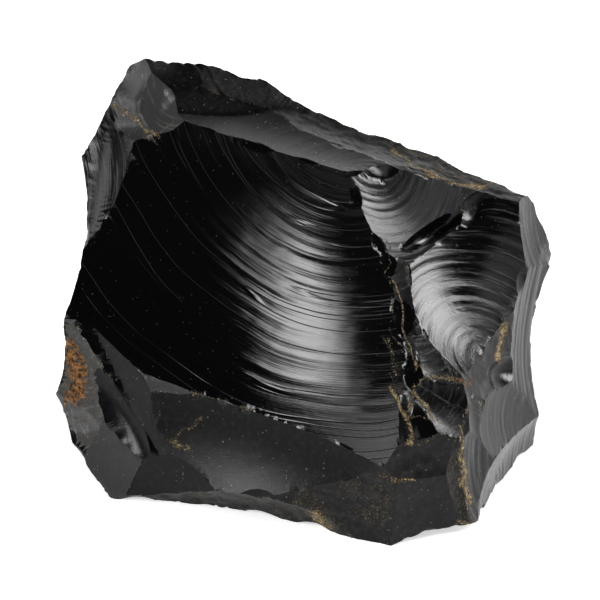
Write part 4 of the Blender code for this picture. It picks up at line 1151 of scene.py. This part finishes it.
def floor():
    """A wide pale floor, faintly glowing as paper on a light table does."""
    sheet = bpy.data.meshes.new("floor")
    corners = [(x * FLOOR_HALF, y * FLOOR_HALF, 0) for x, y in ((-1, -1), (1, -1), (1, 1), (-1, 1))]
    sheet.from_pydata(corners, [], [(0, 1, 2, 3)])
    material = bpy.data.materials.new("pale_floor")
    material.use_nodes = True
    shader = material.node_tree.nodes["Principled BSDF"]
    shader.inputs["Base Color"].default_value = (0.9, 0.9, 0.9, 1)
    shader.inputs["Roughness"].default_value = 0.9
    shader.inputs["Specular IOR Level"].default_value = 0.1
    shader.inputs["Emission Color"].default_value = (1, 1, 1, 1)
    shader.inputs["Emission Strength"].default_value = FLOOR_GLOW
    sheet.materials.append(material)
    made = bpy.data.objects.new("floor", sheet)
    bpy.context.scene.collection.objects.link(made)


floor()
print("floor:", 2 * FLOOR_HALF, "m across")

# %% The sky and its panels
HORIZON, ZENITH = (1.0, 1.0, 1.0, 1), (0.008, 0.008, 0.009, 1)
SKY_DARKENS = (0.16, 0.36)  # sine of the height where the horizon's glow starts to fade and is gone
PANELS = (  # azimuth, elevation, half width and height, lean, softness, radiance
    (-55.6, 39.5, (4.3, 11.0), -31.0, 0.80, 24.0),
    (108.0, 26.0, (8.5, 15.0), 25.0, 0.75, 18.0),
    (92.0, 47.0, (20.0, 8.0), 0.0, 0.50, 1.7),
    (-88.0, 42.0, (8.0, 14.0), 0.0, 0.50, 5.0),
    (168.0, 20.0, (26.0, 9.0), 0.0, 0.50, 0.40),
)


def direction(azimuth, elevation):
    """The way to a place in the studio, from its angle to the right of the viewer and its height."""
    a, e = np.radians((azimuth, elevation))
    return np.array([np.sin(a) * np.cos(e), -np.cos(a) * np.cos(e), np.sin(e)])


def dot_node(tree, vector, fixed):
    """The dot product of a vector socket and a fixed vector."""
    made = tree.nodes.new("ShaderNodeVectorMath")
    made.operation = "DOT_PRODUCT"
    made.inputs[1].default_value = fixed
    link(tree, vector, made.inputs[0])
    return made.outputs["Value"]


def soft_panel(tree, towards, azimuth, elevation, half_size, lean, soft, radiance):
    """How brightly a far rectangle with soft edges shines: angles in degrees."""
    aim = direction(azimuth, elevation)
    right = unit(np.cross(aim, (0, 0, 1)))
    up = np.cross(right, aim)
    turn = np.radians(lean)
    axes = (right * np.cos(turn) + up * np.sin(turn), up * np.cos(turn) - right * np.sin(turn))
    ahead = dot_node(tree, towards, aim)
    share = ramp_node(tree, ahead, 0.0, 0.2)
    for axis, half in zip(axes, np.tan(np.radians(half_size))):
        offset = dot_node(tree, towards, axis)
        place = math_node(tree, "DIVIDE", offset, math_node(tree, "MAXIMUM", ahead, 0.1))
        place = math_node(tree, "ABSOLUTE", place)
        share = times(tree, share, ramp_node(tree, place, half * (1 + soft), half * (1 - soft)))
    return times(tree, share, radiance)


def studio():
    """Pale round the horizon, dark above, with soft-edged panels of light."""
    world = bpy.data.worlds.new("studio")
    world.use_nodes = True
    tree = world.node_tree
    towards = tree.nodes.new("ShaderNodeTexCoord").outputs["Generated"]
    height = ramp_node(tree, dot_node(tree, towards, (0, 0, 1)), *SKY_DARKENS)
    colour = mix_colours(tree, height, HORIZON, ZENITH)
    glow = soft_panel(tree, towards, *PANELS[0])
    for panel in PANELS[1:]:
        glow = plus(tree, glow, soft_panel(tree, towards, *panel))
    add = tree.nodes.new("ShaderNodeMix")
    add.data_type = "RGBA"
    add.blend_type = "ADD"
    add.inputs["Factor"].default_value = 1.0
    add.clamp_result = False
    link(tree, colour, add.inputs["A"])
    link(tree, glow, add.inputs["B"])
    link(tree, add.outputs["Result"], tree.nodes["Background"].inputs["Color"])
    bpy.context.scene.world = world


studio()
bpy.context.scene.view_settings.view_transform = "Standard"
bpy.context.scene.view_settings.gamma = 0.88  # deepens the shadows a little
print("panels of light:", len(PANELS))

# %% [markdown]
# ## The camera
#
# A long lens a good way off keeps the stone's proportions. It looks down by the lean of the drawing
# frame, straight at its origin.

# %% Camera
LENS = 360.0
SENSOR = 36.0
FRAME_SIDE = 0.120  # width of the picture at the stone, in metres


def camera():
    """Looks along the drawing frame's out axis at its origin, from where the frame just fits."""
    data = bpy.data.cameras.new("camera")
    data.lens = LENS
    data.sensor_width = SENSOR
    distance = FRAME_SIDE * LENS / SENSOR
    made = bpy.data.objects.new("camera", data)
    target = Vector(upright(np.zeros((1, 3)))[0] * MM)
    back = Vector((0, -np.cos(LEAN), np.sin(LEAN)))
    made.location = target + back * distance
    made.rotation_euler = back.to_track_quat("Z", "Y").to_euler()
    bpy.context.scene.collection.objects.link(made)
    bpy.context.scene.camera = made


camera()
print("camera at", [round(v, 3) for v in bpy.context.scene.camera.location])
